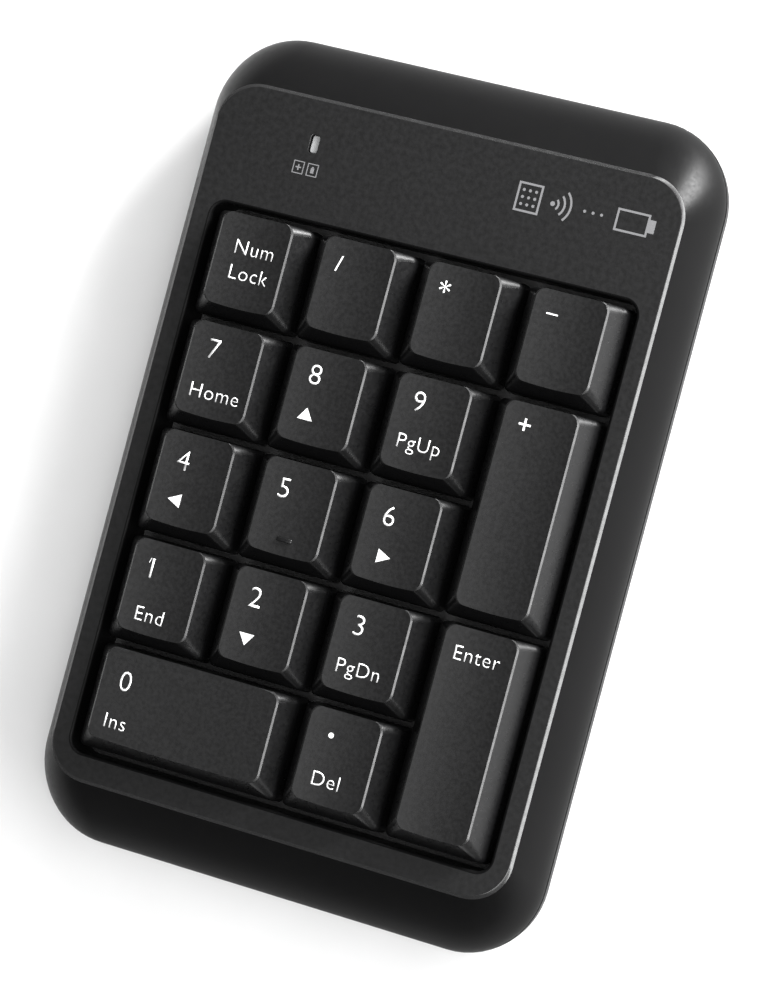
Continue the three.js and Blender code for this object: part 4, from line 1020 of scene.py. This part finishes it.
def battery_cell(name, node, cap_side):
    low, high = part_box(node)
    place = (low + high) / 2
    can_length = high.x - low.x - CELL_TIP
    deselect()
    bpy.ops.mesh.primitive_cylinder_add(vertices=48, radius=(high.y - low.y) / 2, depth=can_length,
                                        location=(place.x - cap_side * CELL_TIP / 2, place.y, place.z),
                                        rotation=(0, math.pi / 2, 0))
    cell = settle(named(name))
    bpy.ops.object.mode_set(mode="EDIT")
    pick(cell, "FACE", lambda centre, normal: normal.x * cap_side > 0.9)
    bpy.ops.mesh.inset(thickness=3.35 * MM)
    bpy.ops.mesh.extrude_region_move(TRANSFORM_OT_translate={"value": (cap_side * CELL_TIP, 0, 0)})
    bpy.ops.object.mode_set(mode="OBJECT")
    soften(cell, 0.3 * MM, 3, 40)
    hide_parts(node)
    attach(cell, "case")
    return cell


cells = [battery_cell("cell_near", "battery_front", -1), battery_cell("cell_far", "battery_rear", 1)]
print(len(cells), "cells")

# %% [markdown]
# Moulded plastic is never one flat colour. The mould's fine grain breaks up the light, the pigment
# is slightly uneven, and the edges that hands and desks rub turn paler and smoother. One recipe gives
# all of this from the place on the piece, so nothing has to be unwrapped, and each finish only sets
# its own numbers. Edges are found by comparing the true surface with a slightly rounded one.

# %% Parts of a finish
def put(tree, kind, **settings):
    node = tree.nodes.new("ShaderNode" + kind)
    for setting, value in settings.items():
        if setting in node.inputs:
            node.inputs[setting].default_value = value
        else:
            setattr(node, setting, value)
    return node


def noise(tree, place, scale, detail=3.0, stretch=(1, 1, 1)):
    mapping = put(tree, "Mapping")
    mapping.inputs["Scale"].default_value = stretch
    tree.links.new(place, mapping.inputs["Vector"])
    texture = put(tree, "TexNoise", Scale=scale, Detail=detail)
    tree.links.new(mapping.outputs["Vector"], texture.inputs["Vector"])
    return texture.outputs["Fac"]


def remap(tree, value, low, high, new_low, new_high):
    node = put(tree, "MapRange", clamp=True)
    for name, number in (("From Min", low), ("From Max", high), ("To Min", new_low), ("To Max", new_high)):
        node.inputs[name].default_value = number
    tree.links.new(value, node.inputs["Value"])
    return node.outputs["Result"]


def multiply(tree, a, b):
    node = put(tree, "Math", operation="MULTIPLY")
    for i, value in enumerate((a, b)):
        if isinstance(value, float):
            node.inputs[i].default_value = value
        else:
            tree.links.new(value, node.inputs[i])
    return node.outputs[0]


def blend_colour(tree, share, first, second, how="MIX"):
    node = put(tree, "Mix", data_type="RGBA", blend_type=how)
    for socket, value in ((node.inputs[6], first), (node.inputs[7], second)):
        if isinstance(value, tuple):
            socket.default_value = (*value, 1)
        else:
            tree.links.new(value, socket)
    tree.links.new(share, node.inputs[0])
    return node.outputs[2]


def worn_edges(tree, radius):
    """One where an edge is rounded within a radius, nothing where the surface is flat."""
    rounded = put(tree, "Bevel", samples=4, Radius=radius)
    surface = put(tree, "NewGeometry")
    dot = put(tree, "VectorMath", operation="DOT_PRODUCT")
    tree.links.new(rounded.outputs["Normal"], dot.inputs[0])
    tree.links.new(surface.outputs["Normal"], dot.inputs[1])
    return remap(tree, dot.outputs["Value"], 0.99, 0.85, 0.0, 1.0)


# %% A recipe for finishes
def finish(name, colour, roughness, grain=2600.0, depth=0.02, mottle=0.12, speckle=0.0, wear=0.25,
           metal=0.0, shine=0.5, stretch=(1, 1, 1), edge=0.25):
    """A finish with grain, uneven colour and worn edges."""
    material = bpy.data.materials.new(name)
    material.use_nodes = True
    tree = material.node_tree
    shader = tree.nodes["Principled BSDF"]
    shader.inputs["Metallic"].default_value = metal
    shader.inputs["Specular IOR Level"].default_value = shine
    place = put(tree, "TexCoord").outputs["Object"]

    fine = noise(tree, place, grain, 4.0, stretch)
    broad = noise(tree, place, 70.0, 3.0)
    pale = tuple(min(1.0, c * (1 + mottle)) for c in colour)
    dark = tuple(c * (1 - mottle) for c in colour)
    tint = blend_colour(tree, remap(tree, broad, 0.35, 0.65, 0.0, 1.0), dark, pale)
    if speckle > 0:
        spots = put(tree, "HueSaturation")
        tree.links.new(remap(tree, fine, 0.35, 0.65, 1 - speckle, 1 + speckle), spots.inputs["Value"])
        tree.links.new(tint, spots.inputs["Color"])
        tint = spots.outputs["Color"]
    if wear > 0:
        rubbed = multiply(tree, worn_edges(tree, edge * MM), remap(tree, broad, 0.3, 0.7, wear, wear * 2))
        worn = tuple(min(1.0, c * 1.9 + 0.02) for c in colour)
        tint = blend_colour(tree, rubbed, tint, worn)
    tree.links.new(tint, shader.inputs["Base Color"])
    rough = remap(tree, fine, 0.3, 0.7, roughness - 0.05, roughness + 0.05)
    tree.links.new(rough, shader.inputs["Roughness"])
    bump = put(tree, "Bump", Strength=1.0, Distance=depth * MM)
    tree.links.new(remap(tree, fine, 0.2, 0.8, 0.0, 1.0), bump.inputs["Height"])
    tree.links.new(bump.outputs["Normal"], shader.inputs["Normal"])
    return material


def coat(piece, *materials):
    piece.data.materials.clear()
    for material in materials:
        piece.data.materials.append(material)


def assign(piece, slot, test):
    """Gives a piece's second or third finish to the faces of which the test is true."""
    for face in piece.data.polygons:
        if test(face.center, face.normal):
            face.material_index = slot

# %% [markdown]
# The upper case has three finishes in one moulding: a matte deck with a fine spark-eroded grain, a
# polished line cut round its edge, whose colour is also painted paler than the deck as a highlight,
# and smoother, darker slopes. A key has three: a satin face with a fine grain, smooth skirts whose
# colour is painted darker than the face as shade, and the edge between them, which is rubbed shiny.
# The faces of each are picked by their height and slant and assigned.

# %% Black plastics
slope_finish = finish("slope_plastic", (0.0032, 0.0032, 0.0033), 0.36, grain=1400.0, depth=0.002,
                      mottle=0.05, wear=0.0, shine=0.08)
deck_finish = finish("deck_plastic", (0.0062, 0.0062, 0.0064), 0.6, shine=0.25, grain=1100.0, depth=0.012,
                     mottle=0.05, speckle=0.3, wear=0.0)
# The polished line's colour is painted paler than the deck as a highlight; its gloss is real.
deck_edge_highlight_finish = finish("polished_highlight_line", (0.015, 0.015, 0.0152), 0.2, grain=900.0, depth=0.001, mottle=0.05,
                     wear=0.0, shine=0.8)
edge_finish = finish("rubbed_edge", (0.008, 0.008, 0.0082), 0.26, grain=900.0, depth=0.001, mottle=0.05,
                     wear=0.0, shine=0.7)
# The skirts' colour is painted darker than the face as shade; their smoothness is real.
skirt_shade_finish = finish("skirt_shade_plastic", (0.0035, 0.0035, 0.0037), 0.31, grain=1500.0, depth=0.0008,
                      mottle=0.06, wear=0.0, shine=0.5)
face_finish = finish("face_plastic", (0.0078, 0.0078, 0.008), 0.5, shine=0.28, grain=1500.0, depth=0.009,
                     mottle=0.05, speckle=0.25, wear=0.0)
base_finish = finish("base_plastic", (0.0045, 0.0045, 0.0047), 0.5, grain=2200.0, depth=0.008, mottle=0.08,
                     wear=0.06, shine=0.2)
ink_finish = finish("white_ink", (0.80, 0.80, 0.80), 0.45, grain=3000.0, depth=0.002,
                    mottle=0.02, wear=0.0)
grey_ink = finish("grey_ink", (0.17, 0.17, 0.175), 0.4, grain=3000.0, depth=0.002,
                  mottle=0.03, wear=0.0)
print(len(bpy.data.materials), "materials so far")


# %% Finishes on the faces of the black pieces
def outside_well(point, room=1 * MM):
    """True past the rounded rim of the well."""
    beside = abs(point.x) > WELL_X + room
    return beside or point.y < WELL_FRONT - room or point.y > WELL_BACK + room


coat(case_top, slope_finish, deck_finish, deck_edge_highlight_finish)
assign(case_top, 1, lambda centre, normal: centre.z > DECK - 0.01 * MM and normal.z > 0.9)
assign(case_top, 2, lambda centre, normal: DECK - CHAMFER_DROP < centre.z and 0.5 < normal.z < 0.97
       and outside_well(centre))
for cap in caps.values():
    coat(cap, skirt_shade_finish, face_finish, edge_finish)
    assign(cap, 1, lambda centre, normal: centre.z > KEY_TOP - DISH_DEPTH - 0.02 * MM and normal.z > 0.93)
    assign(cap, 2, lambda centre, normal: centre.z > KEY_TOP - 1.2 * MM and 0.6 < normal.z <= 0.9)
# The homing bar takes the skirts' colour, which is painted darker than the face as shade.
coat(homing_bar, skirt_shade_finish)
for layer in prints:
    coat(layer, ink_finish)
coat(badge_layer, grey_ink)
coat(bpy.data.objects["indicator_marks"], grey_ink)
coat(case_base, base_finish)
coat(door, base_finish)
coat(knob, skirt_shade_finish)
coat(press, skirt_shade_finish)

# %% [markdown]
# What lies inside or underneath keeps the shape of its solid and gets its own finish: brushed steel,
# shiny nickel, pale silicone, clear film, green solder mask, printed sleeves and soft rubber.

# %% Finishes for the pieces that keep their shape
KEPT = {
    "key_guide_plate": finish("guide_plastic", (0.045, 0.045, 0.0455), 0.5, depth=0.01),
    "dome_mat": finish("silicone", (0.62, 0.62, 0.58), 0.6, grain=1200.0, depth=0.006, wear=0.05),
    "steel_backplate": finish("zinc_sheet", (0.5, 0.51, 0.52), 0.38, grain=500.0, metal=1.0,
                              stretch=(1, 12, 1)),
    "membrane_top_layer": finish("clear_film", (0.6, 0.63, 0.64), 0.3, grain=600.0, depth=0.004,
                                 wear=0.05),
    "membrane_spacer": finish("spacer_film", (0.7, 0.7, 0.66), 0.4, grain=700.0, depth=0.004, wear=0.05),
    "circuit_board": finish("solder_mask", (0.02, 0.12, 0.045), 0.35, grain=800.0, depth=0.01, mottle=0.3),
    "controller_chip": finish("epoxy", (0.02, 0.02, 0.021), 0.45, depth=0.01),
    "indicator_lamp": finish("lamp_epoxy", (0.6, 0.8, 0.6), 0.2, depth=0.002, wear=0.05),
    "indicator_light_pipe": finish("milky_acrylic", (0.4, 0.405, 0.41), 0.35, grain=900.0,
                                   depth=0.003, wear=0.1),
    "battery_front": finish("cell_sleeve", (0.06, 0.15, 0.28), 0.3, grain=400.0, depth=0.004, mottle=0.2),
    "battery_lead_red": finish("red_pvc", (0.45, 0.02, 0.02), 0.4, depth=0.004),
    "battery_lead_black": finish("black_pvc", (0.02, 0.02, 0.02), 0.4, depth=0.004),
    "battery_contact_positive": finish("nickel", (0.62, 0.61, 0.58), 0.25, grain=700.0, metal=1.0,
                                       depth=0.006, stretch=(1, 8, 1)),
    "rating_label": finish("label_film", (0.42, 0.42, 0.41), 0.55, grain=1800.0, depth=0.006, wear=0.1),
    "foot_front_left": finish("soft_rubber", (0.018, 0.018, 0.018), 0.85, grain=1600.0, depth=0.02,
                              mottle=0.2),
    "screw_front_left": finish("black_steel", (0.06, 0.06, 0.062), 0.35, grain=900.0, metal=1.0,
                               depth=0.006),
}
SAME = {
    "membrane_bottom_layer": "membrane_top_layer", "membrane_connector": "controller_chip",
    "battery_rear": "battery_front", "battery_contact_negative": "battery_contact_positive",
    "battery_contact_bridge": "battery_contact_positive", "power_switch_body": "screw_front_left",
    "pairing_switch": "screw_front_left",
}
for pad in feet:
    coat(pad, KEPT["foot_front_left"])
for fastener in screws:
    coat(fastener, KEPT["screw_front_left"])
coat(window, KEPT["indicator_light_pipe"])
coat(film, KEPT["rating_label"])
for piece in [mat] + domes:
    coat(piece, KEPT["dome_mat"])
coat(label_print, base_finish)
for cell in cells:
    low = min(vertex.co.x for vertex in cell.data.vertices)
    high = max(vertex.co.x for vertex in cell.data.vertices)
    coat(cell, KEPT["battery_front"], KEPT["battery_contact_positive"])
    assign(cell, 1, lambda centre, normal: centre.x < low + 1.3 * MM or centre.x > high - 1.3 * MM)
for node, piece in frame["nodes"].items():
    first = node.split("_")[0]
    if node in KEPT:
        coat(piece, KEPT[node])
    elif node in SAME:
        coat(piece, KEPT[SAME[node]])
    elif first == "foot":
        coat(piece, KEPT["foot_front_left"])
    elif first == "screw":
        coat(piece, KEPT["screw_front_left"])
    elif first == "stabiliser":
        coat(piece, KEPT["battery_contact_positive"])
    elif node in ("power_switch_slider", "pairing_button"):
        coat(piece, skirt_shade_finish)
    else:
        coat(piece, base_finish)

# %% [markdown]
# The keypad lies on a plain pale floor under four soft boxes. The main one is a long strip at the
# right, which draws a bright line on the right edge of each key and of the deck. A weak strip behind
# does the same for the back edges. A small strong one stands low behind the back right corner and
# shines along the rounded corners of the keys and the case. A large one overhead fills the faces,
# and the surroundings stay dim, so the plastic reads black.

# %% Floor and lights
deselect()
bpy.ops.mesh.primitive_plane_add(size=6, location=(0, 0, 0))
floor = named("floor")
coat(floor, finish("floor_paper", (0.86, 0.86, 0.86), 0.9, grain=300.0, depth=0.01,
                   mottle=0.01, wear=0.0))


def soft_box(name, place, aim, width, height, power):
    direction = Vector(aim) - Vector(place)
    turn = direction.to_track_quat("-Z", "Y").to_euler()
    bpy.ops.object.light_add(type="AREA", location=place, rotation=turn)
    light = bpy.context.active_object
    light.name = name
    light.data.shape = "RECTANGLE"
    light.data.size = width
    light.data.size_y = height
    light.data.energy = power
    return light


soft_box("right_strip", (0.87, 0.2, 0.62), (0, 0, 0.01), 2.0, 0.26, 16.0)
soft_box("back_strip", (0.3, 1.0, 0.5), (0, 0, 0.01), 1.3, 0.16, 6.0)
soft_box("low_back_light", (0.58, 0.76, 0.17), (0, 0, 0.01), 0.42, 0.28, 42.0)
soft_box("top_light", (0.45, -0.45, 1.4), (0, 0, 0), 1.2, 1.2, 18.0)

world = bpy.data.worlds.new("studio")
bpy.context.scene.world = world
world.use_nodes = True
world.node_tree.nodes["Background"].inputs["Color"].default_value = (1, 1, 1, 1)
world.node_tree.nodes["Background"].inputs["Strength"].default_value = 0.2
bpy.context.scene.view_settings.view_transform = "Standard"
print(len(bpy.data.lights), "lights")
